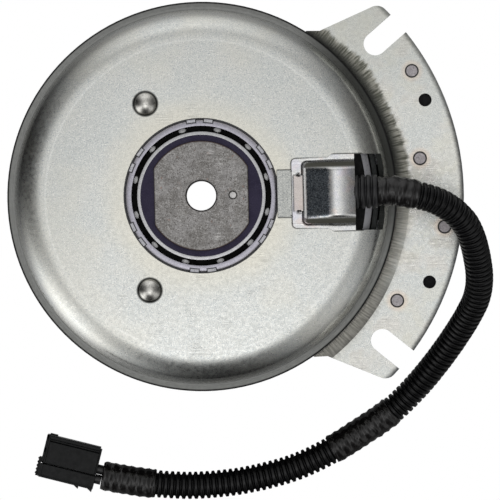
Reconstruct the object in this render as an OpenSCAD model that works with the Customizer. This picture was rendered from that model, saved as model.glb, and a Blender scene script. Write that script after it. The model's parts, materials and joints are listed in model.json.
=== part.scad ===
// Electromagnetic power-take-off clutch with a permanent-magnet brake.
// Origin: centre of the shaft bore's mouth, on the hub's lower face. +Z runs up
// the shaft to the bolt end, +X points to the anti-rotation flange and the cable.
// All sizes in millimetres.

/* [Housing cup] */
// Outer radius of the cup's rim flange
rim_r = 75.2; // [75:0.1:75.4]
// Outer radius of the cup's skirt just above the rim
skirt_r = 72.3; // [72:0.1:72.6]
// Outer radius where the skirt meets the rounded corner
corner_r = 70; // [69.8:0.1:70.4]
// Radius of the rounded corner
corner_bend = 10; // [9.5:0.1:10.5]
// Sheet thickness of the cup
cup_t = 2; // [1.6:0.1:2]
// Height of the cup's top face above the hub's lower face
cup_top = 73; // [73:0.1:73.5]
// Radius of the cup's central opening
cup_hole_r = 29.6; // [29.4:0.1:30]
// Distance of the cup rivets from the axis
cup_rivet_at = 41; // [40:0.5:42]

/* [Brake plate] */
// Outer radius of the flange
flange_r = 101; // [100:0.5:103]
// Thickness of the brake plate
plate_t = 3; // [2.5:0.1:3]
// Height that the flange stands above the ring under the cup
joggle = 5; // [4.8:0.1:5.2]
// Width of each anti-rotation slot
slot_w = 8.9; // [8:0.1:9.5]
// Distance of the slot's closed-end centre from the axis
slot_at = 89; // [88:0.5:90]
// Angle of each slot from the flange's middle
slot_angle = 40; // [39:0.5:41]
// Angle of each brake magnet pack from the flange's middle
pack_angle = 19; // [18:0.5:19.5]
// Radius of the flange rivets' shanks
pack_rivet_r = 2.5; // [2.2:0.1:2.6]

/* [Hub and rotor] */
// Radius of the shaft bore, for a 25.4 mm shaft
bore_r = 12.7; // [12:0.1:12.7]
// Depth of the shaft bore
bore_depth = 62; // [58:1:62]
// Width of the shaft key
key_w = 6.35; // [6:0.05:6.35]
// Radius of the bolt hole in the hub's end wall
bolt_r = 5.6; // [5:0.1:6.5]
// Radius of the double-D end of the hub
hub_end_r = 20.9; // [20:0.1:21]
// Distance between the double-D flats
flats_w = 35.8; // [34:0.1:37]
// Outer radius of the rotor's pole ring
rotor_r = 68; // [67.4:0.1:68.2]
// Air gap between the released armature and the rotor
air_gap = 0.6; // [0.4:0.1:0.8]

/* [Pulley] */
// Outer radius of the belt pulley
pulley_r = 69.85; // [68:0.05:70]
// Width of the belt groove at the rim
groove_w = 16.5; // [15:0.5:17]
// Depth of the belt groove
groove_depth = 14; // [12:0.5:15]
// Angle of each groove wall from the plane across the axis
groove_angle = 19; // [17:0.5:20]

/* [Cable] */
// Radius of the corrugated sleeve
sleeve_r = 5.25; // [5:0.05:5.4]
// Radius of the tape wrapped round the sleeve
tape_r = 5.75; // [5.6:0.05:6]
// Radius of the grommet where the cable leaves the housing
grommet_r = 6.5; // [6:0.1:6.5]
// Length of the connector
plug_l = 22; // [20:0.5:24]
// Width of the connector
plug_w = 17; // [16:0.5:18]
// Height of the connector
plug_h = 11.5; // [11:0.5:12]

/* [Hidden] */

$fn = 120;
eps = 0.01;
big = 300;

// Heights up the axis
ring_z = 31.5;                              // underside of the brake plate's ring
ring_top = ring_z + plate_t;                // the cup's rim stands here
flange_z = ring_z + joggle;                 // underside of the flange
flange_top = flange_z + plate_t;
armature_z = 34.5;                          // underside of the armature, at rest on the brake
rotor_z = 40;                               // friction face of the rotor
armature_t = rotor_z - air_gap - armature_z;
rotor_t = 6;
rotor_ring_top = 53;
shell_z = 47.5;                             // open end of the field shell
bearing_z = 63.6;                           // lower face of the field bearing
bearing_top = 70.6;
hub_top = 72;
pulley_mid_z = 11.5;                        // middle plane of the belt groove
pulley_seat_z = 4;                          // lower face of the pulley bearing
pulley_seat_top = 24;
spider_top = 29;                            // face that carries the leaf springs

// Field shell: a channel, open downwards, round the coil
shell_r = 65.2;
shell_wall = 2.5;
shell_bend = 6;
shell_back_t = 3;
pole_r = 33.5;
pole_bore_r = 27.2;
window_x = 50;                              // the lead window in the shell's back starts here
window_half = 14.5;
notch_x = [57.7, 69.8];                     // notch in the cup's corner, over the window

// Field bearing, thin section, 45 x 58 x 7
field_bearing = [22.5, 24.5, 26.6, 29];     // bore, inner ring's outside, outer ring's inside, outside
field_ball_r = 2.2;
field_pitch_r = 25.55;
field_balls = 12;

// Pulley bearing, double row, 35 x 55 x 20
pulley_bearing = [17.5, 20.6, 24.4, 27.5];
pulley_ball_r = 3;
pulley_pitch_r = 22.5;
pulley_balls = 10;
pulley_rows = [9, 19];

// Leaf springs: straight strips from a foot on the pulley to a pad under the armature
spring_foot_r = 40;
spring_pad_r = 46;
spring_run = 38;
spring_w = 11;
spring_t = 0.8;
spring_hole_r = 2.6;
spring_turn = acos((spring_foot_r * spring_foot_r + spring_pad_r * spring_pad_r
    - spring_run * spring_run) / (2 * spring_foot_r * spring_pad_r));
// Direction of the strip, seen from above, when its foot is on the X axis
spring_dir = atan2(spring_pad_r * sin(spring_turn), spring_pad_r * cos(spring_turn) - spring_foot_r);
pad_top = armature_z - 0.1;
rivet_r = 2.5;

// Brake packs, each in its own frame with X along its middle radius
pack_rivets = [[83.9, -15.5], [92.7, 17.2]];
pack_view_hole = [93.6, 4.9];               // round hole through which the magnet shows
magnet_box = [[84.5, -11], [97, 11]];
shoe_z = 28.5;

// Cable cover: a folded sheet cap with a flat frame, standing on the cup
cover_t = 1.2;
cover_tongue = [29, 34.5, 9.1];             // start, end, half width
cover_frame = [34.5, 58.4, 13.7];
cover_tabs = [49, 58.4, 14.5];
cover_hump = [39.4, 49.5, 58.4, 11.8];      // foot of the ramp, top of the ramp, end, half width
cover_top = 85.2;
cable_z = 77;                               // height of the cable's axis as it leaves
grommet_x = [57.8, 66.8];
wire_r = 1.3;

// Route of the cable's middle line, from the grommet to the connector, on the ground past the flange
ROUTE = [[66.8, 0, 77], [70.4, 0, 77], [74, 0, 77], [82, -1.8, 76], [89, -4, 74], [95, -7.5, 70.5],
    [100, -12.5, 65.5], [103, -18.5, 59.5], [105, -26, 52], [106, -34, 44.5], [105, -41.5, 37],
    [101.5, -49, 29.5], [96.5, -57, 22], [90, -66, 15], [82, -75.5, 9.5], [72, -85, 6.5],
    [60, -93, 5.8], [48, -100, 5.8], [36, -105.5, 5.8], [24, -109, 5.8], [10, -111.5, 5.8],
    [-6, -112.5, 5.8], [-21, -111.5, 5.8], [-31, -110, 5.8], [-41.9, -107.8, 5.8]];
STEPS = 3;                                  // rings between two points of the route
SIDES = 10;

// Connector: two-way, lying on the ground, X towards its mating end
plug_at = [-54.3, -102.1, 0];
plug_turn = 164.7;
lock_y = 2.8;                               // the lock fills the side beyond this line
cavity = [3.4, 6];
terminal_y = [-5, 0.2];
lead_r = 1.9;                               // the two leads between the sleeve and the connector
lead_y = [0.2, 4.1];
lead_l = 2.4;

// ---------- shapes shared by several pieces ----------

// A ring about the axis, from its inner and outer radius and its two heights
module ring(r_in, r_out, z0, z1) {
    translate([0, 0, z0]) difference() {
        cylinder(r = r_out, h = z1 - z0);
        translate([0, 0, -1]) cylinder(r = r_in, h = z1 - z0 + 2);
    }
}

// An upright cylinder from z0 to z1
module rod(r, z0, z1) {
    translate([0, 0, z0]) cylinder(r = r, h = z1 - z0);
}

// Places its children at n equal steps round the axis, first at angle a0
module around(n, a0 = 0) {
    for (i = [0:n - 1]) rotate([0, 0, a0 + i * 360 / n]) children();
}

// A curved slot about the axis, as a solid to take away
module arc_slot(r_in, r_out, span, z0, z1) {
    mid = (r_in + r_out) / 2;
    rotate([0, 0, -span / 2]) rotate_extrude(angle = span)
        translate([r_in, z0]) square([r_out - r_in, z1 - z0]);
    for (s = [-1, 1]) rotate([0, 0, s * span / 2]) translate([mid, 0, 0]) rod((r_out - r_in) / 2, z0, z1);
}

// Points of an arc in the profile plane, from angle a0 to a1
function arc(c, r, a0, a1, n = 8) = [for (i = [0:n]) let (a = a0 + (a1 - a0) * i / n)
    [c[0] + r * cos(a), c[1] + r * sin(a)]];

// A smooth curve through the route's points (Catmull-Rom)
function clamp_index(i, n) = min(max(i, 0), n - 1);
function blend_points(a, b, c, d, t) = 0.5 * ((2 * b) + (c - a) * t
    + (2 * a - 5 * b + 4 * c - d) * t * t + (3 * b - a - 3 * c + d) * t * t * t);
function smooth(pts, steps) = let (n = len(pts)) concat(
    [for (i = [0:n - 2], s = [0:steps - 1]) blend_points(pts[clamp_index(i - 1, n)], pts[i],
        pts[i + 1], pts[clamp_index(i + 2, n)], s / steps)], [pts[n - 1]]);
function unit(v) = v / norm(v);
function tangent(pts, i) = let (n = len(pts)) unit(pts[clamp_index(i + 1, n)] - pts[clamp_index(i - 1, n)]);
function ring_points(pts, i, r) = let (t = tangent(pts, i), side = unit(cross(t, [0, 0, 1])),
    up = cross(side, t)) [for (k = [0:SIDES - 1]) let (a = (k + 0.5) * 360 / SIDES)
    pts[i] + r * (cos(a) * side + sin(a) * up)];

// A tube of radius r along a list of points, closed at both ends
module sweep(pts, r) {
    n = len(pts);
    verts = [for (i = [0:n - 1]) each ring_points(pts, i, r)];
    sides = [for (i = [0:n - 2], k = [0:SIDES - 1]) let (m = (k + 1) % SIDES)
        [i * SIDES + k, i * SIDES + m, (i + 1) * SIDES + m, (i + 1) * SIDES + k]];
    ends = [[for (k = [SIDES - 1:-1:0]) k], [for (k = [0:SIDES - 1]) (n - 1) * SIDES + k]];
    polyhedron(points = verts, faces = concat(sides, ends), convexity = 6);
}

// Part of the smoothed route, between two of the route's points
function route_part(a, b) = [for (i = [a * STEPS:b * STEPS]) smooth(ROUTE, STEPS)[i]];

// ---------- housing: cup, coil and field shell ----------

// The deep-drawn cup: flat top, round corner, tapered skirt and rim flange
module cup_housing() {
    corner = [corner_r - corner_bend, cup_top - corner_bend];
    color("gainsboro") difference() {
        rotate_extrude() polygon(concat(
            [[cup_hole_r, cup_top - cup_t], [cup_hole_r, cup_top]],
            arc(corner, corner_bend, 90, 0),
            [[skirt_r, ring_top + cup_t + 1], [skirt_r + 1, ring_top + cup_t],
                [rim_r, ring_top + cup_t], [rim_r, ring_top], [skirt_r - cup_t, ring_top]],
            arc(corner, corner_bend - cup_t, 0, 90)));
        // notch over the lead window
        translate([notch_x[0], -window_half, 58]) cube([notch_x[1] - notch_x[0], 2 * window_half, 20]);
        // passage for the leads, hidden by the cable cover
        translate([notch_x[0] - 7, -8, 60]) cube([8, 16, 20]);
        at_cup_rivets() rod(rivet_r, 60, 80);
        at_hidden_rivet() rod(rivet_r, 60, 80);
    }
}

// Places of the two round-headed rivets, and of the flat one under the cable cover
module at_cup_rivets() {
    for (a = [120, 240]) rotate([0, 0, a]) translate([cup_rivet_at, 0, 0]) children();
}
module at_hidden_rivet() {
    translate([45, 0, 0]) children();
}

// The field shell: outer wall, back and inner pole, with stakes that hold the bearing
module field_shell() {
    top = cup_top - cup_t;
    bend = [shell_r - shell_bend, top - shell_bend];
    color("darkgray") {
        difference() {
            rotate_extrude() polygon(concat(
                [[pole_bore_r, shell_z], [pole_bore_r, bearing_z], [field_bearing[3], bearing_z],
                    [field_bearing[3], top]],
                arc(bend, shell_bend, 90, 0),
                [[shell_r, shell_z], [shell_r - shell_wall, shell_z],
                    [shell_r - shell_wall, top - shell_back_t], [pole_r, top - shell_back_t],
                    [pole_r, shell_z]]));
            intersection() {
                translate([window_x, -window_half, shell_z + 15]) cube([30, 2 * window_half, 30]);
                rod(shell_r - shell_wall, shell_z, big);
            }
            at_cup_rivets() rod(rivet_r, 60, 80);
            at_hidden_rivet() rod(rivet_r, 60, 80);
        }
        stakes();
    }
}

// Twelve staked tabs over the edge of the bearing's outer ring, in six pairs
module stakes() {
    stake_l = 3.5;
    for (s = [-1, 1]) around(6, 30 + s * 6.6) translate([27.9, -stake_l / 2, bearing_top])
        cube([1.4, stake_l, cup_top - cup_t - bearing_top]);
}

module coil_bobbin() {
    color("dimgray") {
        ring(pole_r, pole_r + 1.2, 49.5, 66);
        ring(pole_r + 1.2, shell_r - shell_wall, 49.5, 50.7);
        ring(pole_r + 1.2, shell_r - shell_wall, 64.8, 66);
    }
}

module coil_winding() {
    color("peru") ring(pole_r + 1.2, shell_r - shell_wall - 1, 50.7, 64.8);
}

// Potting compound at the coil's open face, behind the bobbin and in the lead window
module coil_potting() {
    back = cup_top - cup_t - shell_back_t;
    color("black") {
        ring(pole_r, shell_r - shell_wall, shell_z + 0.3, 49.5);
        ring(pole_r, shell_r - shell_wall, 66, back);
        difference() {
            intersection() {
                translate([window_x, -window_half, back]) cube([30, 2 * window_half, 1.4]);
                rod(shell_r - shell_wall, back - 1, back + 5);
            }
            lead_wires_solid();
        }
    }
}

// Rivets that hold the cup to the field shell: two round heads and a flat one
module cup_rivets() {
    head_r = 4.6;
    head_h = 2.8;
    ball_r = (head_r * head_r + head_h * head_h) / (2 * head_h);
    foot_z = cup_top - cup_t - shell_back_t;
    color("silver") {
        at_cup_rivets() {
            rod(rivet_r, foot_z, cup_top + eps);
            intersection() {
                translate([0, 0, cup_top + head_h - ball_r]) sphere(r = ball_r);
                rod(head_r, cup_top, cup_top + head_h);
            }
        }
        at_hidden_rivet() {
            rod(rivet_r, foot_z, cup_top + eps);
            rod(3.4, cup_top, cup_top + 0.9);
        }
    }
}

// ---------- brake plate and brake packs ----------

// Plan of one half of the flange, as a solid from z0 to z1
module flange_half(z0, z1) {
    // root of the ear at the ring, and the start and slope of its straight edge
    root = [41.7, 63];
    edge = [47, 62.8];
    slope = 23.2;
    normal = [-sin(slope), cos(slope)];
    along = [cos(slope), sin(slope)];
    reach = edge * normal;
    tip_r = 4.5;
    tip_c = (reach - tip_r) * normal
        + sqrt(pow(flange_r - tip_r, 2) - pow(reach - tip_r, 2)) * along;
    far = edge + 60 * along;
    translate([0, 0, z0]) linear_extrude(z1 - z0) {
        difference() {
            intersection() {
                circle(r = flange_r);
                polygon([[0, 0], [120, 0], [120, far[1]], far, edge, root]);
            }
            polygon([tip_c, tip_c + tip_r * normal, tip_c + tip_r * normal + 20 * along,
                tip_c + 30 * unit(tip_c)]);
        }
        circle_at(tip_c, tip_r);
    }
}

module circle_at(c, r) {
    translate(c) circle(r = r);
}

// Flange, joggle and the ring under the cup, in one sheet
module brake_plate() {
    bend_r = rim_r + 0.4;
    color("gainsboro") difference() {
        union() {
            ring(armature_outer() + 1.3, rim_r, ring_z, ring_top);
            intersection() {
                rotate_extrude() polygon([[armature_outer() + 1.3, ring_z], [bend_r, ring_z],
                    [bend_r + joggle, flange_z], [big, flange_z], [big, flange_top],
                    [bend_r + joggle - 0.6, flange_top], [bend_r - 0.6, ring_top],
                    [armature_outer() + 1.3, ring_top]]);
                union() {
                    flange_half(ring_z - 1, flange_top + 1);
                    mirror([0, 1, 0]) flange_half(ring_z - 1, flange_top + 1);
                }
            }
        }
        for (s = [-1, 1]) rotate([0, 0, s * slot_angle]) translate([slot_at, 0, 0]) {
            rod(slot_w / 2, flange_z - 5, flange_top + 5);
            translate([0, -slot_w / 2, flange_z - 5]) cube([40, slot_w, 15]);
        }
        for (s = [-1, 1]) rotate([0, 0, s * pack_angle]) {
            for (p = pack_rivets) translate(p) rod(pack_rivet_r, 0, 50);
            translate([pack_view_hole[0], s * pack_view_hole[1], 0]) rod(2.5, 0, 50);
        }
    }
}

function armature_outer() = 68;

module brake_magnets() {
    size = magnet_box[1] - magnet_box[0];
    color("black") for (s = [-1, 1]) rotate([0, 0, s * pack_angle])
        translate([magnet_box[0][0], magnet_box[0][1], shoe_z + 2.9])
            cube([size[0], size[1], flange_z - shoe_z - 2.9]);
}

// Steel shoes that lead the magnets' pull in under the armature's edge
module brake_pole_shoes() {
    shoe_t = 2.9;
    color("silver") for (s = [-1, 1]) rotate([0, 0, s * pack_angle]) difference() {
        union() {
            translate([0, 0, shoe_z]) linear_extrude(shoe_t)
                polygon([[61, -12], [77, -12], [79.5, -21], [90, -21], [98, -12], [98, 21], [86, 22],
                    [79, 18], [77, 12], [61, 12]]);
            translate([61, -12, shoe_z]) cube([6, 24, armature_z - 0.1 - shoe_z]);
        }
        for (p = pack_rivets) translate(p) rod(pack_rivet_r, 0, 50);
    }
}

// Shouldered rivets, flush with the flange's upper face
module brake_rivets() {
    color("lightgray") for (s = [-1, 1], p = pack_rivets) rotate([0, 0, s * pack_angle]) translate(p) {
        rod(pack_rivet_r, shoe_z, flange_top);
        rod(pack_rivet_r + 1.2, shoe_z + 2.9, flange_z);
        rod(pack_rivet_r + 1.8, shoe_z - 1.8, shoe_z);
    }
}

// ---------- field bearing ----------

// A ring with a round groove for the balls
module race(r_in, r_out, z0, z1, pitch_r, ball_r, rows) {
    difference() {
        ring(r_in, r_out, z0, z1);
        for (z = rows) rotate_extrude() translate([pitch_r, z]) circle(r = ball_r + 0.05, $fn = 32);
    }
}

field_row_z = (bearing_z + bearing_top) / 2;

module field_bearing_outer_ring() {
    color("darkgray") race(field_bearing[2], field_bearing[3], bearing_z, bearing_top,
        field_pitch_r, field_ball_r, [field_row_z]);
}

module field_bearing_inner_ring() {
    color("silver") race(field_bearing[0], field_bearing[1], bearing_z, bearing_top,
        field_pitch_r, field_ball_r, [field_row_z]);
}

module field_bearing_balls() {
    color("white") around(field_balls, 15) translate([field_pitch_r, 0, field_row_z])
        sphere(r = field_ball_r - 0.05, $fn = 32);
}

// Crown cage: a ring with a pocket for each ball
module field_bearing_cage() {
    color("black") difference() {
        ring(field_bearing[1] + 0.25, field_bearing[2] - 0.25, bearing_z + 0.6, field_row_z + 1.2);
        around(field_balls, 15) translate([field_pitch_r, 0, field_row_z])
            sphere(r = field_ball_r, $fn = 32);
    }
}

// ---------- rotor ----------

// The keyed hub: pulley seat below, rotor seat in the middle, field seat and double-D above
module rotor_hub() {
    color("gray") difference() {
        union() {
            rod(pulley_bearing[0], 0, pulley_seat_top);
            rod(20.4, pulley_seat_top, rotor_z);
            rod(24, rotor_z, rotor_z + rotor_t);
            rod(26.5, rotor_z + rotor_t, rotor_z + rotor_t + 3);
            rod(24.4, rotor_z + rotor_t + 3, bearing_z);
            rod(field_bearing[0], bearing_z, bearing_top);
            double_d(bearing_top, hub_top);
        }
        rod(bore_r, -1, bore_depth);
        rod(bolt_r, bore_depth - 1, hub_top + 1);
        translate([0, -key_w / 2, -1]) cube([bore_r + 2.8, key_w, bore_depth - 7]);
        // circlip groove under the pulley bearing
        ring(pulley_bearing[0] - 1, 20, pulley_seat_z - 1.5, pulley_seat_z);
        // small drill mark on the hub's end
        translate([12, 0, hub_top - 0.6]) cylinder(r = 1.35, h = 2);
    }
}

module double_d(z0, z1) {
    intersection() {
        rod(hub_end_r, z0, z1);
        translate([-flats_w / 2, -30, z0 - 1]) cube([flats_w, 60, z1 - z0 + 2]);
    }
}

// Thin dark washer pressed over the double-D, against the bearing's inner ring
module hub_retaining_washer() {
    color([0.2, 0.17, 0.3]) difference() {
        rod(23.2, bearing_top, bearing_top + 0.6);
        double_d(bearing_top - 1, hub_top + 1);
    }
}

// Pole disc with two rings of curved slots and a pole ring that surrounds the field shell
module rotor_disc() {
    color("darkgray") difference() {
        union() {
            ring(24, rotor_r, rotor_z, rotor_z + rotor_t);
            ring(rotor_r - 2.2, rotor_r, rotor_z, rotor_ring_top);
        }
        around(6) arc_slot(36, 39, 46, rotor_z - 1, rotor_z + rotor_t + 1);
        around(6, 30) arc_slot(58.5, 61.5, 50, rotor_z - 1, rotor_z + rotor_t + 1);
        ring(43, 54, rotor_z - 1, rotor_z + 2.5);
    }
}

module friction_ring() {
    color("saddlebrown") ring(43, 54, rotor_z, rotor_z + 2.5);
}

// ---------- armature and leaf springs ----------

module armature_plate() {
    color("silver") difference() {
        ring(31, armature_outer(), armature_z, armature_z + armature_t);
        around(6, 12) arc_slot(53, 56, 44, armature_z - 1, armature_z + armature_t + 1);
        at_pads() {
            rod(rivet_r, 0, 60);
            rod(4.4, armature_z + armature_t - 2, 60);
        }
    }
}

// Places its children on the springs' pads, under the armature
module at_pads() {
    around(3, spring_turn) translate([spring_pad_r, 0, 0]) children();
}

module armature_rivets() {
    color("silver") at_pads() {
        rod(rivet_r, pad_top - spring_t - 2, armature_z + armature_t - 0.2);
        rod(4.4, armature_z + armature_t - 2, armature_z + armature_t - 0.2);
        rod(4.4, pad_top - spring_t - 2, pad_top - spring_t - 0.05);
    }
}

// Cranked strips: flat foot on the pulley, ramp, flat pad under the armature
module leaf_springs() {
    pad_z = pad_top - spring_t;
    color("slategray") around(3) difference() {
        translate([spring_foot_r, 0, 0]) rotate([0, 0, spring_dir]) {
            translate([0, spring_w / 2, 0]) rotate([90, 0, 0]) linear_extrude(spring_w)
                polygon([[0, spider_top], [8, spider_top], [spring_run - 8, pad_z], [spring_run, pad_z],
                    [spring_run, pad_top], [spring_run - 8.2, pad_top], [7.8, spider_top + spring_t],
                    [0, spider_top + spring_t]]);
            rod(spring_w / 2, spider_top, spider_top + spring_t);
            translate([spring_run, 0, 0]) rod(spring_w / 2, pad_z, pad_top);
        }
        translate([spring_foot_r, 0, 0]) rod(rivet_r, 20, 40);
        rotate([0, 0, spring_turn]) translate([spring_pad_r, 0, 0]) rod(spring_hole_r, 20, 40);
    }
}

module spring_rivets() {
    color("silver") around(3) translate([spring_foot_r, 0, 0]) {
        rod(rivet_r, spider_top - 3, spider_top + spring_t);
        rod(4.2, spider_top + spring_t, spider_top + spring_t + 1.8);
        rod(4.2, spider_top - 4.6, spider_top - 3);
    }
}

// ---------- pulley ----------

web_half = groove_w / 2 - groove_depth * tan(groove_angle);   // half width of the groove's floor
groove_floor_r = pulley_r - groove_depth;
sheave_t = 3;

// The pulley's hub: bearing seat, middle web between the sheaves, and the spring spider on top
module pulley_hub() {
    color("dimgray") difference() {
        union() {
            rod(33, 1.5, spider_top);
            rod(groove_floor_r - 3, pulley_mid_z - web_half, pulley_mid_z + web_half);
            rod(46.5, spider_top - 3, spider_top);
        }
        rod(pulley_bearing[3], 0, pulley_seat_top);
        rod(25.4, pulley_seat_top - 1, spider_top + 1);
        ring(26, 28.7, pulley_seat_z - 1.5, pulley_seat_z);
        around(6, 30) translate([44, 0, 0]) rod(rivet_r, 0, 25);
        around(3) translate([spring_foot_r, 0, 0]) rod(rivet_r, spider_top - 4, 40);
    }
}

// One sheave, drawn above the groove's middle plane: flat web and flared wall
module sheave() {
    rise = groove_depth * tan(groove_angle);
    slant_t = sheave_t / cos(groove_angle);
    difference() {
        rotate_extrude() polygon([[33, web_half], [groove_floor_r, web_half],
            [pulley_r, web_half + rise], [pulley_r, web_half + rise + slant_t],
            [groove_floor_r - 0.5, web_half + sheave_t], [33, web_half + sheave_t]]);
        around(6, 30) translate([44, 0, 0]) rod(rivet_r, 0, 25);
    }
}

module upper_sheave() {
    color("darkslategray") translate([0, 0, pulley_mid_z]) sheave();
}

module lower_sheave() {
    color("darkslategray") translate([0, 0, pulley_mid_z]) mirror([0, 0, 1]) sheave();
}

module sheave_rivets() {
    reach = web_half + sheave_t;
    color("silver") around(6, 30) translate([44, 0, pulley_mid_z]) {
        rod(rivet_r, -reach - eps, reach + eps);
        rod(4.2, reach, reach + 1.6);
        rod(4.2, -reach - 1.6, -reach);
    }
}

module pulley_bearing_outer_ring() {
    color("darkgray") race(pulley_bearing[2], pulley_bearing[3], pulley_seat_z, pulley_seat_top,
        pulley_pitch_r, pulley_ball_r, pulley_rows);
}

module pulley_bearing_inner_ring() {
    color("silver") race(pulley_bearing[0], pulley_bearing[1], pulley_seat_z, pulley_seat_top,
        pulley_pitch_r, pulley_ball_r, pulley_rows);
}

module pulley_bearing_balls() {
    color("white") for (z = pulley_rows) around(pulley_balls) translate([pulley_pitch_r, 0, z])
        sphere(r = pulley_ball_r - 0.05, $fn = 32);
}

module pulley_bearing_cages() {
    back = pulley_ball_r + 0.7;
    color("black") for (s = [0, 1]) difference() {
        ring(pulley_bearing[1] + 0.5, pulley_bearing[2] - 0.5,
            pulley_rows[s] - (1 - s) * back - s * 1, pulley_rows[s] + (1 - s) * 1 + s * back);
        around(pulley_balls) translate([pulley_pitch_r, 0, pulley_rows[s]])
            sphere(r = pulley_ball_r, $fn = 32);
    }
}

module upper_bearing_seal() {
    color("black") ring(pulley_bearing[1] + 0.1, pulley_bearing[2], pulley_seat_top - 1.1, pulley_seat_top - 0.3);
}

module lower_bearing_seal() {
    color("black") ring(pulley_bearing[1] + 0.1, pulley_bearing[2], pulley_seat_z + 0.3, pulley_seat_z + 1.1);
}

// External circlip on the hub, under the pulley bearing's inner ring
module hub_circlip() {
    color("dimgray") difference() {
        ring(pulley_bearing[0] - 1, 20, pulley_seat_z - 1.5, pulley_seat_z);
        translate([-30, -2, 0]) cube([30, 4, 10]);
    }
}

// Internal circlip in the pulley's hub, under the bearing's outer ring
module bearing_circlip() {
    color("dimgray") difference() {
        ring(25.2, 28.7, pulley_seat_z - 1.5, pulley_seat_z);
        translate([-40, -2.5, 0]) cube([40, 5, 10]);
    }
}

// ---------- cable, cover and connector ----------

// Folded cap over the leads: a frame on the cup, a tongue to the bearing, a ramped tunnel
module cable_cover() {
    z = cup_top;
    color("lightgray") difference() {
        union() {
            plate(cover_tongue, z);
            plate(cover_frame, z);
            plate(cover_tabs, z);
            hump(0, cover_hump[3]);
        }
        hump(cover_t, cover_hump[3] - cover_t);
    }
}

// Flat sheet between two X positions, with a half width
module plate(span, z) {
    translate([span[0], -span[2], z]) cube([span[1] - span[0], 2 * span[2], cover_t]);
}

// The tunnel's outer shape (inset 0) or its hollow, drawn in side view
module hump(inset, half) {
    end = cover_hump[2] + (inset > 0 ? 1 : 0);
    base = cup_top - (inset > 0 ? 1 : 0);
    translate([0, half, 0]) rotate([90, 0, 0]) linear_extrude(2 * half)
        polygon([[cover_hump[0] + inset, base], [cover_hump[0] + inset, cup_top + 2.4],
            [cover_hump[1] - 1 + inset, cover_top - 1.2 - inset], [cover_hump[1] + 2, cover_top - inset],
            [end, cover_top - inset], [end, base]]);
}

// Grommet with two grooves, where the leads leave the cover
module cable_grommet() {
    x0 = grommet_x[0];
    x1 = grommet_x[1];
    color("black") translate([0, 0, cable_z]) rotate([0, 90, 0]) rotate_extrude()
        polygon([[3.4, x0], [grommet_r, x0], [grommet_r, x0 + 2.4], [grommet_r - 0.8, x0 + 2.8],
            [grommet_r - 0.8, x0 + 3.6], [grommet_r, x0 + 4], [grommet_r, x0 + 5.6],
            [grommet_r - 0.8, x0 + 6], [grommet_r - 0.8, x0 + 6.8], [grommet_r, x0 + 7.2],
            [grommet_r, x1], [3.4, x1]]);
}

module lead_wires() {
    color("firebrick") lead_wires_solid();
}

// Two leads, up out of the potting and along through the grommet
module lead_wires_solid() {
    turn_r = 3.5;
    x0 = 54;
    for (s = [-1, 1]) translate([0, s * 1.6, 0]) {
        translate([x0, 0, 0]) rod(wire_r, cup_top - cup_t - shell_back_t, cable_z - turn_r);
        translate([x0 + turn_r, 0, cable_z - turn_r]) rotate([90, 0, 180]) rotate_extrude(angle = 90)
            translate([turn_r, 0]) circle(r = wire_r, $fn = 32);
        translate([x0 + turn_r, 0, cable_z]) rotate([0, 90, 0])
            cylinder(r = wire_r, h = grommet_x[1] - x0 - turn_r);
    }
}

module cable_sleeve() {
    color("black") sweep(smooth(ROUTE, STEPS), sleeve_r);
}

module cover_end_tape() {
    color("dimgray") sweep(route_part(0, 3), tape_r);
}

module middle_tape() {
    color("dimgray") sweep(route_part(15, 17), tape_r);
}

module connector_end_tape() {
    color("dimgray") sweep(route_part(22, 24), tape_r);
}

// Moves the children to the connector's place, X towards the mating end
module at_plug() {
    translate(plug_at) rotate([0, 0, plug_turn]) children();
}

// Main side of the connector, with two terminal cavities, a raised edge and a front lug
module connector_body() {
    rear = -plug_l / 2;
    color("black") at_plug() difference() {
        union() {
            translate([rear, -plug_w / 2, 0]) cube([plug_l, plug_w / 2 + lock_y - 0.15, plug_h]);
            translate([rear + 1, -plug_w / 2, plug_h - eps]) cube([plug_l - 3, 1.8, 0.9]);
            translate([plug_l / 2 - 4, -plug_w / 2 - 0.8, 3]) cube([3, 1, 5.5]);
        }
        for (y = terminal_y) translate([rear + 4, y - cavity[0] / 2, plug_h / 2 - cavity[1] / 2])
            cube([plug_l, cavity[0], cavity[1]]);
    }
}

// Snap-on lock along the connector's other side, with latch teeth at its rear
module connector_lock() {
    rear = -plug_l / 2;
    color("black") at_plug() {
        translate([rear, lock_y + 0.15, 0]) cube([plug_l, plug_w / 2 - lock_y - 0.15, plug_h - 0.7]);
        translate([plug_l / 2 - eps, lock_y + 1, 2.5]) cube([1.4, 3.4, 6]);
        for (x = [0.2, 5.6]) translate([rear + x, plug_w / 2, 3]) linear_extrude(5)
            polygon([[0, -0.5], [0, 1.1], [2.6, 0], [2.6, -0.5]]);
    }
}

module connector_terminals() {
    color("gold") at_plug() for (y = terminal_y) translate([-plug_l / 2 + 4, y - 1.2, plug_h / 2 - 1.9])
        cube([plug_l - 7, 2.4, 3.8]);
}

// The two insulated leads in the gap between the sleeve's end and the connector
module connector_leads() {
    color("black") at_plug() for (y = lead_y) translate([-plug_l / 2 - lead_l, y, ROUTE[len(ROUTE) - 1][2]])
        rotate([0, 90, 0]) cylinder(r = lead_r, h = lead_l);
}

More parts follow.
